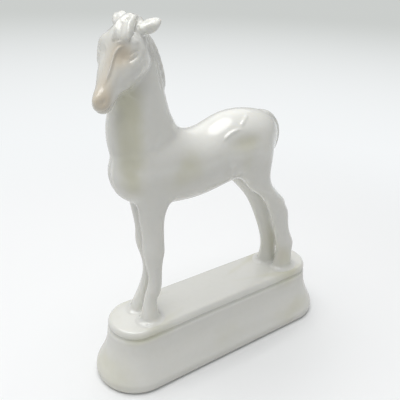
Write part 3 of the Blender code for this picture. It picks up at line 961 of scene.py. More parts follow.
@dataclass(frozen=True)
class Head:
    """Head with its brows, eyes, cheeks, nostrils and mouth."""

    neck: Neck
    length: float = 0.0340
    width: float = 0.0158
    depth: float = 0.0165
    droop: float = 53.0
    turn: float = 25.0
    poll_place: tuple[float, float] = (1.045, 0.095)
    table: Rows = (
        (-0.085, 0.32, 0.14, 0.18, 0.0),
        (-0.010, 0.62, 0.27, 0.33, 0.0),
        (0.090, 0.74, 0.365, 0.49, 0.06),
        (0.200, 0.94, 0.410, 0.64, 0.14),
        (0.295, 1.32, 0.385, 0.76, 0.24),
        (0.400, 1.12, 0.335, 0.82, 0.12),
        (0.530, 0.88, 0.290, 0.73, 0.06),
        (0.640, 0.66, 0.260, 0.50, 0.06),
        (0.750, 0.49, 0.245, 0.28, 0.04),
        (0.850, 0.47, 0.280, 0.20, 0.0),
        (0.935, 0.43, 0.268, 0.19, 0.0),
        (0.980, 0.33, 0.205, 0.15, 0.0),
        (1.002, 0.14, 0.085, 0.065, 0.0),
    )
    muzzle: Relief = (
        Swell((31.6, 4.6, -1.0), (2.4, 2.0, 2.4), 0.40),                # end of the nose
        Swell((30.2, -2.8, 0.0), (2.0, 1.3, 2.2), 0.45),                # chin
    )
    skull: Relief = (
        Swell((8.2, 4.9, 7.2), (2.4, 2.3, 2.3), 0.80, 0.38),            # brow
        Swell((14.0, 4.2, 4.8), (3.0, 2.5, 2.6), -1.25, -0.50),         # socket
        Swell((12.7, 3.6, 8.6), (2.2, 1.7, 1.8), -0.70, -0.28),         # outer end of the socket
        Swell((19.0, 2.4, 4.9), (4.2, 1.9, 2.2), -0.42, -0.168),        # hollow beside the nose
        Swell((17.4, -2.0, 7.2), (3.2, 3.0, 2.4), 0.80),                # cheek
        Swell((22.6, 0.4, 4.6), (3.0, 2.0, 2.0), -0.30, -0.12),         # hollow before the cheek
        Swell((30.4, 2.6, 3.4), (2.0, 1.7, 1.3), 0.40),                 # wing of the nostril
        Swell((10.5, -6.5, 8.0), (4.5, 3.6, 3.0), 0.25),                # corner of the jaw
    )
    rims: Relief = (
        Swell((21.5, 2.4, -3.6), (5.5, 2.4, 2.0), 0.55),                # far edge of the nose
        Swell((4.8, 5.9, 6.6), (4.2, 1.9, 1.4), 0.60),                  # temple
        Swell((6.0, 6.6, -1.9), (4.0, 1.6, 1.5), 0.45),                 # forehead beside the forelock
    )
    face: Relief = (
        Ridge(((10.6, 5.3, 6.0), (11.4, 5.7, 4.2), (12.4, 5.8, 2.8), (14.0, 5.6, 1.9), (16.4, 5.1, 1.6),
               (19.0, 4.7, 1.7), (21.6, 4.3, 1.6), (24.2, 4.1, 1.2), (27.0, 4.4, 0.9)),
              0.50, 0.72, (0.30, 0.35), 0.12),                          # edge of the nose
        Ridge(((7.4, 4.6, 8.2), (9.2, 4.9, 7.6), (10.4, 5.3, 6.2)), 1.0, 0.26, (0.35, 0.35), 0.0),
        Swell((13.1, 3.5, 7.7), (1.6, 1.0, 2.0), 0.42, 0.252),          # eye under its lids
        Ridge(((14.3, 4.2, 5.6), (13.0, 4.2, 7.0), (11.6, 3.7, 8.4), (10.4, 2.9, 9.4)),
              0.52, -0.34, (0.25, 0.35), -0.204),                       # upper lid
        Ridge(((15.4, 3.4, 6.2), (14.7, 3.1, 7.2), (13.4, 2.8, 8.3), (11.6, 2.5, 9.4)),
              0.55, -0.30, (0.25, 0.35), -0.18),                        # lower lid
        Ridge(((17.0, 2.2, 6.4), (15.2, 1.5, 7.9), (13.2, 1.2, 9.2), (10.5, 1.5, 10.0)), 1.0, 0.38),
        Ridge(((20.0, -6.0, 4.4), (22.4, -3.2, 4.3), (24.8, -1.2, 4.0), (27.4, -0.2, 3.6)), 0.9, 0.30),
        Swell((31.2, 3.2, 2.6), (1.8, 1.3, 1.5), -0.42),                # nostril
        Swell((31.0, 3.0, 2.9), (1.0, 0.65, 0.8), -0.50),
        Ridge(((33.7, 0.7, 0.0), (33.4, 0.4, 1.5), (32.2, 0.0, 2.8), (30.6, -0.4, 3.4), (28.8, -0.6, 3.6)),
              0.38, -0.36, (0.001, 0.35)),                              # lips
    )
    # Peach stains with painted shade: in the socket, down the face and nose, and on the muzzle.
    warm: tuple[tuple[Triple, float, float], ...] = (
        ((13.9, 4.6, 4.6), 3.9, 1.0),
        ((12.0, 6.2, 0.0), 4.5, 0.38),
        ((18.5, 5.0, 0.8), 4.5, 0.60),
        ((25.0, 4.2, 0.6), 4.2, 0.78),
        ((30.8, 3.2, 1.8), 3.8, 1.4),
    )

    @property
    def poll(self) -> np.ndarray:
        """Top of the head, where its axis starts."""
        return self.neck.on_axis(*self.poll_place)

    @property
    def axes(self) -> np.ndarray:
        """Rows: along the head to the lips, out of the face, to its left."""
        turn, droop = math.radians(self.turn), math.radians(self.droop)
        heading = np.array([math.cos(turn), math.sin(turn), 0.0])
        along = heading * math.cos(droop) - UPWARD * math.sin(droop)
        out = heading * math.sin(droop) + UPWARD * math.cos(droop)
        return np.stack([along, out, np.array([-math.sin(turn), math.cos(turn), 0.0])])

    @property
    def bench(self) -> Bench:
        """Frame for carving: along the head, out of the face, to its left."""
        return Bench(self.poll, self.axes, 2)

    def at(self, along: np.ndarray | float, out: np.ndarray | float, left: np.ndarray | float) -> np.ndarray:
        """Point given by parts of the head's length, its depth and half its width."""
        parts = (along * self.length, out * self.depth, left * self.width / 2.0)
        ahead, upward, aside = (np.multiply.outer(part, way) for part, way in zip(parts, self.axes))
        return self.poll + ahead + upward + aside

    def loft(self) -> Loft:
        """Skin the sections of the table: part of the length, half width, face, jaw, egg.

        Returns:
            The head's form.
        """
        along, wide, face, jaw, egg = np.array(self.table).T
        centre = self.poll + (along * self.length)[:, None] * self.axes[0]
        return Loft(centre, self.axes[1], self.axes[2], wide * self.width / 2.0, face * self.depth,
                    jaw * self.depth, egg, sides=14)

    def bones(self) -> list[Carving]:
        """Broad forms of the skull: brows, sockets, cheeks, the hollow beside the nose and the muzzle."""
        bench = self.bench
        return bench.carve(self.muzzle) + bench.both(self.skull) + bench.carve(self.rims)

    def features(self) -> list[Carving]:
        """Fine forms of the face: the edges of the nose, the lids, the nostrils, the mouth and the jaw."""
        return self.bench.both(self.face)

    def stains(self) -> list[StainAndShade]:
        """Warm stains in the sockets, down the nose and on the muzzle, with painted shade in the sockets and on the
        muzzle.
        """
        return [StainAndShade(Hue.PEACH, tuple(self.bench.path([centre])[0] / MM), (radius,) * 3, amount)
                for centre, radius, amount in self.warm]


@dataclass(frozen=True)
class Ear:
    """One cupped ear. Pairs of numbers are for the left and the right ear."""

    head: Head
    side: Side
    length: float = 0.0084
    width: float = 0.0058
    lean_out: tuple[float, float] = (0.62, 0.40)
    lean_back: tuple[float, float] = (0.30, 0.34)
    lean_up: float = 0.72
    root_along: tuple[float, float] = (0.095, 0.060)
    root_out: float = 0.14
    root_left: tuple[float, float] = (0.66, -0.54)
    table: Rows = (
        (0.00, 0.34, 0.26, 0.26),
        (0.26, 0.46, 0.26, 0.34),
        (0.52, 0.52, 0.20, 0.36),
        (0.76, 0.42, 0.18, 0.30),
        (0.93, 0.24, 0.14, 0.20),
        (1.00, 0.10, 0.08, 0.10),
    )
    left_cup: Relief = (
        Swell((1.4, 1.0, 9.0), (2.4, 2.2, 2.2), 0.60),
        Ridge(((3.0, 3.0, 7.4), (1.2, 2.9, 8.2), (-0.8, 2.2, 9.0), (-2.6, 1.4, 9.6)), 0.8, 0.22),
        Ridge(((3.6, 1.6, 8.4), (2.6, 1.7, 9.2), (1.6, 1.3, 10.0), (0.0, 1.1, 10.5)), 1.0, -0.55, (0.35, 0.4)),
    )
    right_cup: Relief = (
        Swell((-1.6, 1.8, -6.6), (2.4, 2.2, 2.4), 0.75),
        Ridge(((0.4, 2.8, -7.4), (-1.4, 2.3, -7.8), (-3.0, 1.6, -7.8)), 0.8, 0.22),
        Ridge(((1.6, 3.0, -5.2), (0.4, 3.0, -5.6), (-1.0, 2.7, -6.0), (-2.2, 2.3, -6.4)), 1.0, -0.30, (0.35, 0.4)),
    )

    @property
    def axes(self) -> np.ndarray:
        """Rows: along the ear to its tip, out of its cup, across it."""
        along, out, left = self.head.axes
        outward, back = self.side.pick(*self.lean_out), self.side.pick(*self.lean_back)
        way = left * self.side.value * outward - along * self.lean_up - out * back
        way /= np.linalg.norm(way)
        front = out - way * (out @ way)
        front /= np.linalg.norm(front)
        return np.stack([way, front, np.cross(way, front)])

    @property
    def root(self) -> np.ndarray:
        """Where the ear's axis starts inside the poll."""
        return self.head.at(self.side.pick(*self.root_along), self.root_out, self.side.pick(*self.root_left))

    def loft(self) -> Loft:
        """Skin the sections of the table: part of the length, half width, front, back.

        Returns:
            The ear's form.
        """
        along, wide, front, back = np.array(self.table).T
        way, front_way, side_way = self.axes
        return Loft(self.root + (along * self.length)[:, None] * way, front_way, side_way, wide * self.width,
                    front * self.width, back * self.width, sides=10)

    def features(self) -> list[Carving]:
        """The hollow of the cup with its rim, which opens outwards and down on the left ear."""
        return self.head.bench.carve(self.left_cup if self.side is Side.LEFT else self.right_cup)


@dataclass(frozen=True)
class Leg:
    """One leg from the hip or shoulder to the hoof."""

    stance: Stance
    gait: Gait
    side: Side
    fore_cannon: float = 0.0056
    hind_cannon: float = 0.0060
    straight_below: float = 0.55
    straight_fade: float = 0.35
    fore_table: Rows = (
        (1.02, -0.040, 1.15, 90.0, 1.00, 1.45, 1.40),
        (0.91, -0.040, 1.28, 90.0, 1.08, 1.50, 1.45),
        (0.81, -0.040, 1.25, 90.0, 0.96, 1.25, 1.25),
        (0.73, -0.040, 1.20, 90.0, 0.86, 0.98, 0.66),
        (0.66, -0.040, 1.16, 90.0, 0.76, 0.80, 0.58),
        (0.58, -0.042, 1.12, 90.0, 0.68, 0.66, 0.64),
        (0.495, -0.036, 1.08, 90.0, 0.72, 0.70, 0.70),
        (0.43, -0.038, 1.04, 90.0, 0.62, 0.60, 0.65),
        (0.35, -0.042, 1.00, 90.0, 0.49, 0.47, 0.53),
        (0.27, -0.046, 1.00, 90.0, 0.48, 0.46, 0.52),
        (0.195, -0.042, 1.00, 92.0, 0.57, 0.54, 0.62),
        (0.130, -0.026, 1.00, 96.0, 0.54, 0.58, 0.47),
        (0.070, -0.010, 1.00, 92.0, 0.64, 0.76, 0.58),
        (0.000, 0.000, 1.00, 90.0, 0.76, 0.92, 0.86),
        (-0.020, 0.000, 1.00, 90.0, 0.76, 0.92, 0.86),
    )
    hind_table: Rows = (
        (1.13, 0.340, 1.25, 80.0, 0.85, 1.30, 1.10),
        (1.03, 0.345, 1.62, 80.0, 1.06, 1.85, 1.20),
        (0.92, 0.350, 1.62, 82.0, 1.08, 1.95, 1.12),
        (0.82, 0.335, 1.48, 78.0, 0.98, 2.05, 0.98),
        (0.725, 0.285, 1.32, 72.0, 0.84, 2.05, 0.92),
        (0.645, 0.214, 1.20, 66.0, 0.74, 1.86, 0.98),
        (0.585, 0.164, 1.12, 66.0, 0.68, 1.70, 0.94),
        (0.525, 0.116, 1.06, 72.0, 0.64, 1.44, 0.94),
        (0.450, 0.080, 1.02, 82.0, 0.56, 1.22, 0.76),
        (0.360, 0.056, 0.98, 86.0, 0.48, 0.98, 0.62),
        (0.270, 0.028, 0.96, 86.0, 0.47, 0.90, 0.66),
        (0.190, -0.004, 0.95, 88.0, 0.56, 0.98, 0.86),
        (0.130, -0.004, 0.94, 94.0, 0.54, 0.86, 0.74),
        (0.070, -0.004, 0.94, 90.0, 0.62, 0.90, 0.76),
        (0.000, 0.000, 0.94, 90.0, 0.72, 1.04, 0.86),
        (-0.020, 0.000, 0.94, 90.0, 0.72, 1.04, 0.86),
    )
    fore_relief: Relief = (
        Swell((35.0, 5.2, 43.0), (2.0, 3.0, 3.0), 0.30),                        # fetlock
        Swell((34.6, 7.4, 64.5), (2.2, 2.6, 3.6), 0.35),                        # back of the knee
        Swell((39.0, 5.4, 65.0), (3.6, 5.0, 4.6), 0.35),                        # knee
        Swell((34.5, 7.0, 86.0), (3.0, 3.0, 6.0), -0.35),                       # under the elbow
        Swell((43.0, 4.6, 76.0), (5.0, 5.0, 14.0), 2.6, 0.0, ACROSS_VIEW),      # front edge of the left leg
        Swell((41.2, 5.4, 56.0), (4.0, 4.5, 9.0), 1.5, 0.0, ACROSS_VIEW),
        Swell((38.0, 7.6, 42.0), (9.0, 9.0, 8.0), 1.0, 0.0, ACROSS_VIEW),
        Swell((40.5, 6.0, 40.0), (4.0, 5.0, 7.0), 1.2, 0.0, ACROSS_VIEW),
        Swell((38.0, 8.0, 52.0), (9.0, 8.0, 13.0), 0.0, -1.5, ACROSS_VIEW),     # the right leg
        Ridge(((37.4, 9.0, 60.0), (37.2, 8.4, 54.0), (36.8, 8.4, 47.0), (37.2, 8.6, 42.0)), 0.9, -0.30),
    )
    hind_relief: Relief = (
        Swell((-42.5, 5.2, 43.5), (2.2, 3.0, 3.0), 0.30),                       # fetlock
        Swell((-25.0, 9.4, 77.0), (4.0, 2.2, 3.0), -0.30),                      # above the hock
        Swell((-29.5, 8.6, 66.0), (3.0, 2.4, 3.6), 0.25),                       # hock
        Swell((-30.0, 7.4, 80.0), (4.5, 4.5, 5.0), 1.6, way=-FORWARD),          # back of the gaskin
        Swell((-34.5, 7.0, 74.0), (4.0, 5.0, 3.6), 2.5, way=-FORWARD),          # point of the hock
        Swell((-14.5, 8.4, 79.5), (4.6, 4.8, 10.0), -2.3, -0.3, -FORWARD),      # front of the gaskin
        Swell((-36.0, 8.0, 45.0), (4.5, 5.0, 10.0), -0.9, 0.4, -FORWARD),       # lower leg
        Ridge(((-33.6, 8.2, 62.0), (-35.6, 7.9, 56.0), (-37.2, 7.8, 50.0), (-38.6, 8.0, 44.5)), 0.9, -0.30),
    )

    @property
    def name(self) -> str:
        """Name of the leg, as its solid has it."""
        return self.side.word + "_" + self.gait.value

    @property
    def hoof_x(self) -> float:
        """X of the hoof, with the left hind one set back."""
        if self.gait is Gait.FORE:
            return 0.5 * self.stance.stance_length
        return -0.5 * self.stance.stance_length - self.side.value * self.stance.hind_stride / 2.0

    def loft(self) -> Loft:
        """Skin the sections of the table: height, forward and outward offsets, tilt, half width, front, back.

        Returns:
            The leg's form.
        """
        fore = self.gait is Gait.FORE
        cannon = self.fore_cannon if fore else self.hind_cannon
        height, ahead, outward, tilt, wide, front, back = np.array(self.fore_table if fore else self.hind_table).T
        s = self.stance
        hip_x = math.copysign(0.5 * s.stance_length, self.hoof_x)
        rising = np.clip((height - self.straight_below) / self.straight_fade, 0.0, 1.0)
        centre = (FORWARD * (self.hoof_x + (hip_x - self.hoof_x) * rising + ahead * s.barrel_height)[:, None]
                  + LEFTWARD * (self.side.value * outward * s.stance_width / 2.0)[:, None]
                  + UPWARD * (s.plinth_height + height * s.barrel_height)[:, None])
        return Loft(centre, lean(tilt), LEFTWARD, wide * cannon, front * cannon, back * cannon)

    @property
    def foot(self) -> np.ndarray:
        """Middle of the hoof on the slab."""
        return self.loft().centre[-2] * (1.0, 1.0, 0.0) + UPWARD * self.stance.plinth_height

    def muscles(self) -> list[Carving]:
        """Swellings of the leg, the furrow before its tendon, and the spread foot."""
        relief = self.fore_relief if self.gait is Gait.FORE else self.hind_relief
        return BODY.carve(relief, self.side) + [Fillet(self.foot, self.side)]


@dataclass(frozen=True)
class Hair:
    """Forelock, mane and tail: applied reliefs."""

    head: Head
    forelock_width: float = 0.0052
    mane_width: float = 0.0050
    tail_width: float = 0.0072
    forelock_table: Rows = (
        (-0.075, 0.060, 0.08, 0.32, 0.22, 0.30),
        (-0.030, 0.240, 0.13, 0.46, 0.30, 0.36),
        (0.050, 0.370, 0.24, 0.54, 0.30, 0.34),
        (0.150, 0.425, 0.34, 0.60, 0.28, 0.30),
        (0.250, 0.425, 0.40, 0.56, 0.26, 0.26),
        (0.315, 0.400, 0.42, 0.34, 0.16, 0.16),
    )
    mane_table: Rows = (
        (1.000, 0.040, -50.0, 0.26, 0.18, 0.40),
        (0.940, -0.022, -62.0, 0.42, 0.28, 0.50),
        (0.850, -0.064, -76.0, 0.50, 0.30, 0.50),
        (0.740, -0.094, -84.0, 0.52, 0.36, 0.50),
        (0.650, -0.112, -86.0, 0.50, 0.40, 0.50),
        (0.580, -0.120, -86.0, 0.38, 0.28, 0.46),
        (0.530, -0.120, -86.0, 0.20, 0.14, 0.32),
    )
    tail_table: Rows = (
        (0.115, 0.420, 8.0, 0.34, 0.27, 0.40),
        (0.060, 0.375, -20.0, 0.46, 0.34, 0.46),
        (0.018, 0.250, -52.0, 0.50, 0.36, 0.46),
        (0.000, 0.090, -78.0, 0.48, 0.36, 0.44),
        (0.000, -0.060, -92.0, 0.38, 0.33, 0.38),
        (0.010, -0.180, -100.0, 0.24, 0.22, 0.26),
    )
    locks: Relief = (
        Ridge(((0.6, 7.0, -1.6), (4.0, 7.7, -0.9), (7.0, 7.8, -0.5), (9.2, 7.1, -0.2), (10.6, 6.5, -0.1)),
              0.65, 0.60, (0.3, 0.15)),
        Ridge(((1.2, 6.9, 3.9), (4.6, 7.8, 5.0), (7.4, 7.4, 5.6), (9.9, 6.3, 5.8)), 0.65, 0.40, (0.3, 0.15)),
        Ridge(((-1.4, 5.9, 0.2), (-0.8, 6.0, 2.4), (0.2, 5.6, 4.6), (1.6, 4.8, 6.4)), 0.65, 0.30, (0.3, 0.15)),
        Ridge(((2.4, 7.9, 1.4), (5.6, 8.3, 1.8), (8.4, 8.0, 2.2), (11.0, 6.8, 2.4)), 1.30, -0.80, (0.2, 0.05)),
        Swell((2.2, 7.9, 2.6), (1.2, 2.2, 1.3), -1.10),                         # pit at the crown
    )
    beside_lock: Rows = (
        (-0.8, 5.4, 4.6), (0.6, 5.6, 5.0), (2.2, 5.9, 5.5), (3.8, 6.1, 5.9), (5.4, 6.2, 6.1), (7.4, 6.1, 6.2),
        (9.2, 5.8, 5.6),
    )
    under_lock: Rows = (
        (8.6, 6.8, -1.6), (10.0, 6.4, -1.2), (11.0, 6.2, -0.2), (11.4, 6.1, 1.0), (11.5, 5.9, 2.4), (11.1, 5.7, 3.8),
    )
    withers: Rows = (
        (24.0, -7.0, 113.5), (25.5, -4.5, 116.0), (25.5, -1.6, 117.0), (25.5, 1.6, 117.0), (25.5, 4.5, 116.0),
        (24.0, 7.0, 113.5),
    )
    mane_border: Rows = (
        (38.6, 3.6, 151.5), (37.2, 4.0, 147.5), (35.8, 4.2, 143.5), (34.8, 4.2, 139.0), (34.2, 4.1, 134.5),
        (33.4, 3.6, 130.0),
    )
    mane_tops: tuple[float, ...] = (149.5, 146.0, 142.6, 139.2, 135.8, 132.6)
    mane_foot: float = 134.0
    mane_back: float = 31.6
    mane_slope: float = 0.16
    mane_strand: Rows = ((-0.6, 0.5, 1.0), (0.6, 1.8, -0.6), (2.0, 3.0, -2.8))
    tail_border: Rows = (
        (-22.0, 3.4, 117.2), (-26.5, 3.6, 114.0), (-29.6, 3.7, 109.0), (-30.6, 3.5, 103.5), (-30.2, 2.9, 98.5),
        (-29.0, 1.8, 95.6),
    )
    tail_strands: Rows = ((0.62, -0.15), (0.20, -0.20))

    def forelock(self) -> Loft:
        """Skin its sections: part of the head's length, out of the face, to its left, half width, front, back.

        Returns:
            The forelock's form.
        """
        along, out, left, wide, front, back = np.array(self.forelock_table).T
        head, w = self.head, self.forelock_width
        return Loft(head.at(along, out, left), head.axes[1], head.axes[2], wide * w, front * w, back * w, sides=10)

    def mane(self) -> Loft:
        """Skin its sections down the crest: height, offset behind the neck's axis, tilt, half width, out, in.

        Returns:
            The mane's form.
        """
        up, ahead, tilt, wide, out, back = np.array(self.mane_table).T
        w = self.mane_width
        return Loft(self.head.neck.on_axis(up, ahead), lean(tilt), LEFTWARD, wide * w, out * w, back * w, sides=10)

    def tail(self) -> Loft:
        """Skin its sections from the dock: part of the body's length, rise, tilt, half width, out, in.

        Returns:
            The tail's form.
        """
        along, rise, tilt, wide, out, back = np.array(self.tail_table).T
        w = self.tail_width
        centre = self.head.neck.stance.on_trunk(along, rise)
        return Loft(centre, lean(tilt), LEFTWARD, wide * w, out * w, back * w, sides=10)

    def blended(self) -> list[Carving]:
        """Angles that are filled and smoothed: beside the forelock, at its end, and at the withers."""
        bench = self.head.bench
        beside, under = bench.path(self.beside_lock), bench.path(self.under_lock)
        return [Line(beside, 1.3 * MM, 1.0 * MM, (0.1, 0.1)), Soften(beside, 1.7 * MM, 50),
                Soften(under, 1.9 * MM, 70), Soften(BODY.path(self.withers), 4.0 * MM, 50)]

    def strands(self) -> list[Carving]:
        """Strands of the forelock, and borders and strands of the mane and the tail on both sides.

        Returns:
            The carvings in their order.
        """
        table = [Ridge(self.mane_border, 0.75, -0.32, (0.25, 0.35))]
        for top in self.mane_tops:
            back = self.mane_back + self.mane_slope * (top - self.mane_foot)
            strand = [(back + x, y, top + z) for x, y, z in self.mane_strand]
            table.append(Ridge(strand, 0.85, -0.15, (0.35, 0.35)))
        table.append(Ridge(self.tail_border, 0.75, -0.38, (0.15, 0.15)))
        for part, dip in self.tail_strands:
            inner = [(x - 1.6, y * part, z) for x, y, z in self.tail_border[:-1]]
            table.append(Ridge(inner, 0.60, dip, (0.2, 0.15)))
        return self.head.bench.carve(self.locks) + BODY.both(table)


# ---------- Glaze ----------


class Wire:
    """Output socket of a shader node, with arithmetic that adds Math nodes."""

    def __init__(self, graph: Graph, socket: bpy.types.NodeSocket) -> None:
        """Keep the socket and the graph it belongs to."""
        self.graph = graph
        self.socket = socket

    def _math(self, operation: str, first: Wire | float, second: Wire | float) -> Wire:
        """Add one Math node."""
        return self.graph.add("ShaderNodeMath", {"operation": operation}, {0: first, 1: second})

    def __add__(self, other: Wire | float) -> Wire:
        """Sum."""
        return self._math("ADD", self, other)

    def __radd__(self, other: float) -> Wire:
        """Sum with a number on the left."""
        return self._math("ADD", other, self)

    def __sub__(self, other: Wire | float) -> Wire:
        """Difference."""
        return self._math("SUBTRACT", self, other)

    def __rsub__(self, other: float) -> Wire:
        """Difference from a number on the left."""
        return self._math("SUBTRACT", other, self)

    def __mul__(self, other: Wire | float) -> Wire:
        """Product."""
        return self._math("MULTIPLY", self, other)

    def clamp(self, low: float, high: float) -> Wire:
        """Map the range from low to high onto 0 to 1, smoothly."""
        settings = {"interpolation_type": "SMOOTHSTEP"}
        return self.graph.add("ShaderNodeMapRange", settings, {"Value": self, "From Min": low, "From Max": high})


class Graph:
    """Node tree of one material."""

    def __init__(self, material: bpy.types.Material) -> None:
        """Clear the material's nodes and keep its tree."""
        material.use_nodes = True
        self.tree = material.node_tree
        self.tree.nodes.clear()

    def add(self, kind: str, settings: dict, inputs: dict, output: int | str = 0) -> Wire:
        """Add a node.

        Args:
            kind: Blender's type of the node.
            settings: Its own settings, set before its sockets.
            inputs: Values or wires for its sockets, by name or number.
            output: The output that is wanted.

        Returns:
            The wire from that output.
        """
        node = self.tree.nodes.new(kind)
        for name, value in settings.items():
            setattr(node, name, value)
        for name, value in inputs.items():
            if isinstance(value, Wire):
                self.tree.links.new(value.socket, node.inputs[name])
            else:
                node.inputs[name].default_value = value
        return Wire(self, node.outputs[output])

    def mix(self, factor: Wire | float, low: Wire | tuple, high: Wire | tuple) -> Wire:
        """Blend two colours by a factor."""
        settings = {"data_type": "RGBA", "blend_type": "MIX"}
        low, high = (value if isinstance(value, Wire) else (*value, 1.0) for value in (low, high))
        return self.add("ShaderNodeMix", settings, {0: factor, 6: low, 7: high}, 2)

    def noise(self, position: Wire, scale: float, detail: float) -> Wire:
        """Noise value at a position, with features of about 1 / scale."""
        return self.add("ShaderNodeTexNoise", {}, {"Vector": position, "Scale": scale, "Detail": detail})

    def finish(self, shader: Wire) -> None:
        """Send a shader to the surface of the material."""
        node = self.tree.nodes.new("ShaderNodeOutputMaterial")
        self.tree.links.new(shader.socket, node.inputs["Surface"])


@dataclass(frozen=True)
class Glaze:
    """Clear glaze over white porcelain. Scales are those of noise, in features per metre."""

    name: str
    body: Triple = (0.838, 0.839, 0.795)
    pooled: Triple = (0.69, 0.705, 0.635)
    # Paler glaze on edges, also a painted highlight along ridges.
    thin: Triple = (0.918, 0.912, 0.858)
    # Ochre and peach: warm stains, with painted shade in the hollows.
    ochre: Triple = (0.72, 0.713, 0.572)
    peach: Triple = (0.69, 0.62, 0.505)
    roughness: float = 0.22
    pool_depth: float = 0.00022
    pool_range: tuple[float, float] = (0.1, 1.3)
    # Range of the painted highlight and thin glaze on convex edges.
    edge_range: tuple[float, float] = (0.2, 1.4)
    ochre_range: tuple[float, float] = (0.05, 1.1)
    peach_range: tuple[float, float] = (0.05, 1.2)
    cloud_scale: float = 55.0
    mottle_scale: float = 420.0
    wave_scale: float = 230.0
    ripple_scale: float = 900.0
    wave_height: float = 0.0004
    sunk_light: float = 0.12
    sunk_depth: float = 0.0015
    coat: float = 0.8
    coat_roughness: float = 0.13
    density: float = 1.5

    def colour(self, graph: Graph, cloud: Wire, mottle: Wire) -> Wire:
        """Mix the colour: greener where glaze pools, paler on edges as thin glaze and painted highlight, with clouds
        of ochre and peach as stains and painted shade.

        Args:
            graph: Nodes of the material.
            cloud: Slow noise.
            mottle: Fine noise.

        Returns:
            The wire with the colour.
        """
        pool, ochre, peach = (graph.add("ShaderNodeAttribute", {"attribute_name": name}, {}, "Fac")
                              for name in ("glaze_pool", "glaze_ochre", "glaze_peach"))
        depth = self.pool_depth
        deep = (pool + (cloud - 0.5) * (0.4 * depth)).clamp(*(part * depth for part in self.pool_range))
        # Painted highlight: convex edges turn paler, together with the thin glaze there.
        edge = (0.0 - pool).clamp(*(part * depth for part in self.edge_range))
        colour = graph.mix(deep, self.body, self.pooled)
        # Ochre stains and painted shade in the hollows.
        warm = (ochre * (0.55 + cloud * 0.9) + (cloud - 0.56) * 0.9).clamp(*self.ochre_range)
        colour = graph.mix(warm, colour, self.ochre)
        # Peach stains and painted shade on the face.
        colour = graph.mix((peach * (0.7 + cloud * 0.6)).clamp(*self.peach_range), colour, self.peach)
        # Paler thin glaze and painted highlight on edges.
        colour = graph.mix(edge, colour, self.thin)
        return graph.mix((mottle - 0.35).clamp(0.0, 0.5) * 0.10, colour, self.pooled)

    def material(self) -> bpy.types.Material:
        """Build the material: milky colour under a clear coat, with the slight waves of a fired glaze.

        Returns:
            The material.
        """
        material = bpy.data.materials.new(self.name)
        graph = Graph(material)
        place = graph.add("ShaderNodeTexCoord", {}, {}, "Object")
        cloud, mottle = graph.noise(place, self.cloud_scale, 3.0), graph.noise(place, self.mottle_scale, 2.0)
        rough = self.roughness + (cloud - 0.5) * 0.10 + (mottle - 0.5) * 0.05
        wave = graph.noise(place, self.wave_scale, 1.0) + graph.noise(place, self.ripple_scale, 1.0) * 0.15
        bump = graph.add("ShaderNodeBump", {}, {"Height": wave, "Strength": 0.10, "Distance": self.wave_height},
                         "Normal")
        shader = graph.add("ShaderNodeBsdfPrincipled", {}, {
            "Base Color": self.colour(graph, cloud, mottle), "Roughness": rough, "IOR": self.density, "Normal": bump,
            "Subsurface Weight": self.sunk_light, "Subsurface Radius": (1.0, 0.9, 0.7),
            "Subsurface Scale": self.sunk_depth, "Coat Weight": self.coat, "Coat Roughness": self.coat_roughness,
            "Coat IOR": self.density,
        }, "BSDF")
        graph.finish(shader)
        return material


# ---------- Pieces ----------


def place_piece(mesh: bpy.types.Mesh, name: str, node: str, glaze: Glaze) -> bpy.types.Object:
    """Add a finished mesh as a piece that stands for one solid.

    Args:
        mesh: The piece's mesh, in place.
        name: Name of the piece.
        node: The solid that it stands for.
        glaze: Its finish.

    Returns:
        The piece.
    """
    piece = bpy.data.objects.new(name, mesh)
    bpy.context.scene.collection.objects.link(piece)
    mesh.materials.append(glaze.material())
    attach(piece, "root")
    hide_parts(node)
    spots = values_of(mesh.vertices, "co", 3, np.float32) / MM
    log.info("%s: %d triangles, %s to %s mm", name, len(mesh.polygons), spots.min(0).round(1), spots.max(0).round(1))
    return piece


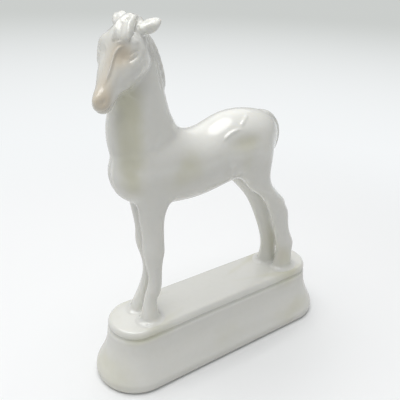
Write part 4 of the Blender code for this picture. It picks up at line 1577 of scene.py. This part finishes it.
@dataclass
class Figure:
    """The foal: its forms fused, relaxed, carved and parted into the cast pieces.

    A row of relief_parts holds the name of an applied relief, the forms that it lies on, and how far its cut
    stands off its own form.
    """

    stance: Stance = field(default_factory=Stance)
    voxel: float = 0.35 * MM
    joint_rounds: int = 80
    glaze_rounds: int = 12
    pool_rounds: int = 24
    joint_share: float = 0.9
    glaze_share: float = 0.5
    touch_share: float = 0.4
    refined_rounds: int = 3
    broad_rounds: int = 5
    fine_rounds: int = 1
    body_foot: tuple[float, float] = (0.078, 0.090)
    body_top: tuple[float, float] = (0.118, 0.130)
    tail_margin: tuple[float, float] = (0.5 * MM, 2.5 * MM)
    fine_above: float = 127.0 * MM
    fine_below: float = 35.0 * MM
    fine_rear: Triple = (-19.0 * MM, 6.0 * MM, 93.0 * MM)
    slab_half: tuple[float, float] = (0.052, 0.0122)
    slab_depth: float = 3 * MM
    foot_cut: float = 0.03 * MM
    leg_cut: float = 5.0 * MM
    head_cut: float = 0.4 * MM
    relief_cut: float = 0.25 * MM
    relief_parts: tuple[tuple[str, tuple[str, ...], float], ...] = (
        ("left_ear", ("head",), 0.9 * MM),
        ("right_ear", ("head",), 0.9 * MM),
        ("forelock", ("head",), 0.7 * MM),
        ("mane", ("neck", "head"), 0.7 * MM),
        ("tail", ("trunk",), 0.7 * MM),
    )
    # Ochre stains with painted shade in the hollows: throat, breast, behind the shoulder, under the hip, the stifle,
    # low on the legs and at the feet; one peach patch between the hind legs.
    stains: tuple[StainAndShade, ...] = (
        StainAndShade(Hue.OCHRE, (48.6, 7.0, 127.0), (6.5, 5.0, 14.0), 1.15),
        StainAndShade(Hue.OCHRE, (49.2, 8.8, 107.5), (5.2, 5.2, 11.5), 1.15),
        StainAndShade(Hue.OCHRE, (27.0, 13.0, 103.5), (10.0, 6.0, 10.0), 0.80),
        StainAndShade(Hue.OCHRE, (-5.0, 12.5, 109.0), (9.0, 5.0, 4.0), 0.80),
        StainAndShade(Hue.OCHRE, (-4.5, 12.5, 96.5), (4.0, 4.0, 6.0), 0.70),
        StainAndShade(Hue.OCHRE, (-38.0, 4.0, 44.0), (7.0, 4.5, 16.0), 0.50),
        StainAndShade(Hue.OCHRE, (-41.0, 9.0, 36.0), (6.5, 4.0, 6.0), 0.80),
        StainAndShade(Hue.PEACH, (-37.5, 6.0, 38.0), (5.0, 4.5, 7.0), 0.40),
        StainAndShade(Hue.OCHRE, (40.0, 10.0, 37.0), (6.0, 4.0, 8.0), 0.80),
    )

    def __post_init__(self) -> None:
        """Set up the forms."""
        self.trunk = Trunk(self.stance)
        self.neck = Neck(self.stance)
        self.head = Head(self.neck)
        self.ears = {side: Ear(self.head, side) for side in Side}
        self.hair = Hair(self.head)
        self.legs = [Leg(self.stance, gait, side) for gait in Gait for side in Side]

    def lofts(self) -> dict[str, Loft]:
        """Every form by the name of its piece."""
        named = {"trunk": self.trunk.loft(), "neck": self.neck.loft(), "head": self.head.loft(),
                 "forelock": self.hair.forelock(), "mane": self.hair.mane(), "tail": self.hair.tail()}
        for side, ear in self.ears.items():
            named[side.word + "_ear"] = ear.loft()
        for leg in self.legs:
            named[leg.name] = leg.loft()
        return named

    def slab(self) -> tuple[np.ndarray, np.ndarray]:
        """Shell of a slab under the hooves, so that the glaze fills the angle between hoof and plinth.

        Returns:
            Its points and triangles.
        """
        top = self.stance.plinth_height
        corner = np.array([[1, 1], [-1, 1], [-1, -1], [1, -1]]) * self.slab_half
        heights = (top - self.slab_depth, top)
        return shell(np.array([np.column_stack([corner, np.full(4, height)]) for height in heights]))

    def skin(self) -> Skin:
        """Fuse, relax and carve the whole figure.

        Returns:
            Its skin, with normals and tints.
        """
        lofts = self.lofts()
        self.grids = {name: loft.surface(4, 3) for name, loft in lofts.items()}
        skin = Skin.fuse([shell(loft.surface(8, 6)) for loft in lofts.values()] + [self.slab()], self.voxel)
        z = skin.points[:, 2]
        off_tail = smooth_step(distance_to(skin.points, self.grids["tail"]), *self.tail_margin)
        body = smooth_step(z, *self.body_foot) * (1.0 - smooth_step(z, *self.body_top)) * off_tail
        skin.relax(self.joint_rounds, self.joint_share * body)
        skin.relax(self.glaze_rounds, self.glaze_share)
        x, y, z = skin.points.T
        rear_x, rear_y, rear_z = self.fine_rear
        rear = (x < rear_x) & (z > rear_z) & (np.abs(y) < rear_y)
        skin.refine((z > self.fine_above) | (z < self.fine_below) | rear)
        skin.relax(self.refined_rounds, self.touch_share)
        for stage, rounds in ((self.broad(), self.broad_rounds), (self.fine(), self.fine_rounds)):
            skin.shade()
            for carving in stage:
                carving.apply(skin)
            skin.relax(rounds, self.touch_share)
        skin.shade()
        skin.gather_glaze(self.pool_rounds)
        for stain_and_shade in (*self.stains, *self.head.stains()):
            stain_and_shade.colour(skin.points, skin.tints)
        log.info("fused skin: %d points, %d triangles", len(skin.points), len(skin.faces))
        return skin

    def broad(self) -> list[Carving]:
        """Muscles, bones and spread feet."""
        forms = [self.trunk.muscles(), self.neck.muscles(), self.head.bones(), *(leg.muscles() for leg in self.legs)]
        return [carving for form in forms for carving in form]

    def fine(self) -> list[Carving]:
        """Filled angles, creases, and the features of the face, the hair and the ears."""
        forms = [self.hair.blended(), self.trunk.creases(), self.head.features(), self.hair.strands(),
                 *(ear.features() for ear in self.ears.values())]
        return [carving for form in forms for carving in form]

    def part(self, skin: Skin) -> dict[str, Skin]:
        """Part the skin into the cast pieces.

        Args:
            skin: The fused skin.

        Returns:
            The skins by the names of their solids.
        """
        s = self.stance
        _, rest = skin.cut(skin.points[:, 2] - s.plinth_height - self.foot_cut)
        pieces: dict[str, Skin] = {}
        for gait, ahead in ((Gait.FORE, 1.0), (Gait.HIND, -1.0)):
            x, z = rest.points[:, 0] * ahead, rest.points[:, 2]
            pair, rest = rest.cut(np.maximum(z - s.seam(gait), self.leg_cut - x))
            pieces["left_" + gait.value], pieces["right_" + gait.value] = pair.cut(-pair.points[:, 1])
        for name, bases, margin in self.relief_parts:
            value = distance_to(rest.points, self.grids[name]) - margin
            close = value < MM
            over = np.min([distance_to(rest.points[close], self.grids[base]) for base in bases], axis=0)
            value[close] = np.maximum(self.relief_cut - over, value[close])
            pieces[name], rest = rest.cut(value)
        pieces["head"], rest = rest.cut(distance_to(rest.points, self.grids["head"]) - self.head_cut)
        pieces["trunk"], pieces["neck"] = rest.cut(self.neck.seam_value(rest.points))
        return pieces

    def build(self) -> list[bpy.types.Object]:
        """Build every piece of the foal.

        Returns:
            The pieces.
        """
        return [place_piece(skin.closed_mesh("glazed_" + name), "glazed_" + name, name, Glaze(name + "_glaze"))
                for name, skin in self.part(self.skin()).items()]


@dataclass(frozen=True)
class Plinth:
    """Long plinth with half-round ends: rounded foot, concave side, fine groove, slab, open below."""

    length: float = 0.1282
    width: float = 0.0386
    height: float = 0.030
    slab_width: float = 0.0255
    slab_thickness: float = 0.0042
    groove_depth: float = 0.0005
    wall: float = 0.0035
    around: int = 320
    side_table: Rows = (
        (0.76, 0.0), (0.90, 0.03), (0.985, 0.075), (1.00, 0.135), (0.975, 0.195), (0.86, 0.27), (0.64, 0.38),
        (0.40, 0.52), (0.20, 0.68), (0.09, 0.84), (0.045, 0.95),
    )
    edge_table: Rows = (
        (0.20, 0.12), (0.0, 0.30), (0.0, 0.50), (0.10, 0.70), (0.30, 0.86), (0.58, 0.965), (0.86, 1.0),
    )
    hollow_table: Rows = (
        (-0.25, 1.0), (-0.02, 0.92), (0.08, 0.72), (0.34, 0.52), (0.62, 0.30), (0.80, 0.10), (0.80, 0.0),
    )
    waves: Rows = ((0.10 * MM, 5.0, 0.7), (0.06 * MM, 11.0, 2.1))
    wavy_from: tuple[float, float] = (0.004, 0.012)
    wavy_to: tuple[float, float] = (0.0285, 0.0300)
    pool: float = 0.12 * MM
    pool_width: float = 0.8 * MM
    # Ochre stains with painted shade: on the slab under the legs, down the long sides and at the fore end.
    stains: tuple[StainAndShade, ...] = (
        StainAndShade(Hue.OCHRE, (46.0, 11.5, 26.0), (17.0, 5.0, 2.6), 0.90),
        StainAndShade(Hue.OCHRE, (-42.0, 11.5, 26.0), (15.0, 5.0, 4.5), 0.60),
        StainAndShade(Hue.OCHRE, (-44.0, 17.0, 8.0), (19.0, 6.0, 9.0), 0.60),
        StainAndShade(Hue.OCHRE, (60.0, 8.0, 6.0), (12.0, 14.0, 12.0), 0.38),
        StainAndShade(Hue.OCHRE, (-40.0, 5.0, 30.0), (12.0, 10.0, 3.0), 0.80),
        StainAndShade(Hue.OCHRE, (40.0, 6.0, 30.0), (12.0, 10.0, 3.0), 0.70),
        StainAndShade(Hue.OCHRE, (5.0, 15.0, 14.0), (14.0, 6.0, 8.0), 0.30),
    )

    @property
    def flare(self) -> float:
        """How far the foot stands out past the slab."""
        return (self.width - self.slab_width) / 2.0

    @property
    def groove_height(self) -> float:
        """Height of the groove under the slab."""
        return self.height - self.slab_thickness

    def outer_profile(self) -> np.ndarray:
        """Draw the outside, from the rim of the foot up to the edge of the top.

        Rows of the side are parts of the flare and of the height, and those of the edge parts of half the
        slab's thickness and of the whole.

        Returns:
            Rows of inset from the foot's outline and height.
        """
        flare, groove = self.flare, self.groove_height
        share, part = np.array(self.side_table).T
        side = np.column_stack([flare * (1.0 - share), groove * part])
        notch = np.array([[flare + self.groove_depth, groove]])
        inset, rise = np.array(self.edge_table).T
        inset, rise = inset * self.slab_thickness / 2.0, rise * self.slab_thickness
        return np.concatenate([side, notch, np.column_stack([flare + inset, groove + rise])])

    def inner_profile(self) -> np.ndarray:
        """Draw the hollow, from its roof down to the rim of the foot.

        Returns:
            Rows of inset and height.
        """
        share, part = np.array(self.hollow_table).T
        return np.column_stack([self.flare * (1.0 - share) + self.wall, part * (self.height - self.wall)])

    @staticmethod
    def rounded(profile: np.ndarray, steps: int) -> np.ndarray:
        """Carry a smooth curve through a profile, with a number of steps from point to point."""
        return smooth_curve(profile, np.arange(steps * (len(profile) - 1) + 1) / steps)

    def outline(self, profile: np.ndarray) -> np.ndarray:
        """Carry a profile round the plinth.

        The outline is two straight runs and two half circles: x = +-(L/2 - R) + r cos a, y = r sin a, where R
        is half the width and r is R less the inset. Its side waves by a tenth of a millimetre, as a casting's does.

        Args:
            profile: Rows of inset and height.

        Returns:
            Points indexed by place on the profile and place around.
        """
        half = self.width / 2.0
        run = self.length - self.width
        arc = np.pi * half
        lap = 2.0 * (arc + run)
        place = (np.arange(self.around) + 0.5) / self.around * lap
        zone = np.searchsorted([arc, arc + run, 2.0 * arc + run], place, side="right")
        quarter = np.pi / 2.0
        angle = np.choose(zone, [place / half - quarter, quarter, (place - run) / half - quarter, -quarter])
        middle = np.choose(zone, [run / 2.0, run / 2.0 - (place - arc), -run / 2.0, place - 2.0 * arc - 1.5 * run])
        turn = place / lap * 2.0 * np.pi
        wave = sum(size * np.sin(count * turn + shift) for size, count, shift in self.waves)
        inset, height = profile[:, :1], profile[:, 1:]
        on_side = smooth_step(height, *self.wavy_from) * (1.0 - smooth_step(height, *self.wavy_to))
        radius = half - inset + wave * on_side
        return np.stack([middle + radius * np.cos(angle), radius * np.sin(angle),
                         np.broadcast_to(height, radius.shape)], axis=-1)

    def mesh(self) -> bpy.types.Mesh:
        """Join the outside, the rim and the hollow into one closed mesh."""
        outer = self.rounded(self.outer_profile(), 5)
        outer[-1, 1] = self.height
        grid = self.outline(np.concatenate([self.rounded(self.inner_profile(), 4), outer]))
        return mesh_from("glazed_plinth", *shell(grid))

    def build(self) -> bpy.types.Object:
        """Build the plinth, with glaze pooled in its groove and ochre stains with painted shade.

        Returns:
            The piece.
        """
        mesh = self.mesh()
        points = values_of(mesh.vertices, "co", 3, np.float32).astype(float)
        tints = np.zeros((len(points), 3))
        tints[:, 0] = self.pool * np.exp(-(((points[:, 2] - self.groove_height) / self.pool_width) ** 2))
        for stain_and_shade in self.stains:
            stain_and_shade.colour(points, tints)
        keep_tints(mesh, tints)
        return place_piece(mesh, "glazed_plinth", "plinth", Glaze("plinth_glaze"))


# ---------- Studio ----------


@dataclass(frozen=True)
class View:
    """Camera at the photograph's viewing angle. Its focal length and frame are in pixels of the photograph."""

    position: Triple = (0.128105, 0.163364, 0.179952)
    azimuth: float = 234.33
    down: float = 26.39
    roll: float = 1.98
    focal: float = 500.0
    frame_size: float = 400.0
    centre_x: float = 200.5
    sensor: float = 36.0

    def build(self) -> bpy.types.Object:
        """Add the camera.

        Returns:
            The camera.
        """
        azimuth, down, roll = (math.radians(value) for value in (self.azimuth, self.down, self.roll))
        ahead = Vector((math.cos(down) * math.cos(azimuth), math.cos(down) * math.sin(azimuth), -math.sin(down)))
        level = ahead.cross(Vector((0.0, 0.0, 1.0))).normalized()
        above = level.cross(ahead)
        right = level * math.cos(roll) + above * math.sin(roll)
        up = above * math.cos(roll) - level * math.sin(roll)
        lens = bpy.data.cameras.new("photo_view")
        lens.sensor_width = self.sensor
        lens.lens = self.focal * self.sensor / self.frame_size
        lens.shift_x = (self.frame_size / 2.0 - self.centre_x) / self.frame_size
        lens.clip_start = 0.01
        camera = bpy.data.objects.new("photo_view", lens)
        camera.matrix_world = Matrix.Translation(self.position) @ Matrix((right, up, -ahead)).transposed().to_4x4()
        bpy.context.scene.collection.objects.link(camera)
        bpy.context.scene.camera = camera
        return camera


@dataclass(frozen=True)
class Lamp:
    """Soft round lamp aimed at the figure."""

    name: str
    position: Triple
    size: float
    power: float
    target: Triple = (0.0, 0.0, 0.08)

    def build(self) -> None:
        """Add the lamp."""
        light = bpy.data.lights.new(self.name, "AREA")
        light.shape = "DISK"
        light.size = self.size
        light.energy = self.power
        thing = bpy.data.objects.new(self.name, light)
        thing.location = self.position
        thing.rotation_euler = (Vector(self.target) - Vector(self.position)).to_track_quat("-Z", "Y").to_euler()
        bpy.context.scene.collection.objects.link(thing)


@dataclass(frozen=True)
class Studio:
    """White sweep with painted shade that greys it off far away, soft lamps and an even surround.

    Near the plinth the sweep is lit and keeps the shadow. Between the distances of even_zone what the camera
    sees blends into an even tone, which darkens as painted shade between those of grey_zone.
    """

    surround: float = 0.342
    lamps: tuple[Lamp, ...] = (
        Lamp("key_light", (0.18, -0.06, 1.03), 1.05, 8.9),
        Lamp("back_light", (-0.36, -0.50, 0.62), 0.60, 0.50),
    )
    sheet: Triple = (0.915, 0.935, 0.945)
    paper: Triple = (0.905, 0.915, 0.92)
    bounce: Triple = (0.68, 0.68, 0.675)
    # Painted shade of the far sweep.
    grey: Triple = (0.60, 0.62, 0.605)
    half_size: float = 4.0
    even_zone: tuple[float, float] = (0.12, 0.34)
    # Distances over which the painted shade darkens the sweep.
    grey_zone: tuple[float, float] = (0.20, 1.60)

    def build(self) -> None:
        """Add the floor, the lamps and the world."""
        world = bpy.data.worlds.new("surround")
        bpy.context.scene.world = world
        world.use_nodes = True
        back = world.node_tree.nodes["Background"]
        back.inputs["Color"].default_value = (1.0, 1.0, 1.0, 1.0)
        back.inputs["Strength"].default_value = self.surround
        for lamp in self.lamps:
            lamp.build()
        self.floor()

    def floor(self) -> bpy.types.Object:
        """Add the pale floor, a flat sheet far larger than the view.

        It returns a little less light to the figure than it shows, as a sheet that ends outside the view does.

        Returns:
            The floor.
        """
        corners = np.array([[-1.0, -1.0, 0.0], [1.0, -1.0, 0.0], [1.0, 1.0, 0.0], [-1.0, 1.0, 0.0]])
        mesh = mesh_from("sweep", corners * self.half_size, np.array([[0, 1, 2, 3]]))
        floor = bpy.data.objects.new("sweep", mesh)
        bpy.context.scene.collection.objects.link(floor)
        mesh.materials.append(self.paper_finish())
        return floor

    def paper_finish(self) -> bpy.types.Material:
        """Build the material of the floor.

        Returns:
            The material.
        """
        material = bpy.data.materials.new("sweep_paper")
        graph = Graph(material)
        place = graph.add("ShaderNodeTexCoord", {}, {}, "Object")
        away = graph.add("ShaderNodeVectorMath", {"operation": "LENGTH"}, {0: place}, "Value")
        # Painted shade: the glowing sweep greys off with distance.
        tone = graph.mix(away.clamp(*self.grey_zone), self.sheet, self.grey)
        glow = graph.add("ShaderNodeEmission", {}, {"Color": tone, "Strength": 1.0})
        seen = graph.add("ShaderNodeLightPath", {}, {}, "Is Camera Ray")
        shine = graph.add("ShaderNodeLightPath", {}, {}, "Is Glossy Ray")
        colour = graph.mix(seen, self.bounce, self.paper)
        paper = graph.add("ShaderNodeBsdfPrincipled", {},
                          {"Base Color": colour, "Roughness": 0.7, "Specular IOR Level": 0.2}, "BSDF")
        even = away.clamp(*self.even_zone) * (seen + shine)
        graph.finish(graph.add("ShaderNodeMixShader", {}, {0: even, 1: paper, 2: glow}))
        return material


def main() -> None:
    """Build the figure, its plinth and the studio, and report each piece."""
    logging.basicConfig(level=logging.INFO, format="%(message)s")
    scene = bpy.context.scene
    scene.view_settings.view_transform = "Standard"
    View().build()
    Plinth().build()
    Figure().build()
    Studio().build()


if __name__ == "__main__":
    main()
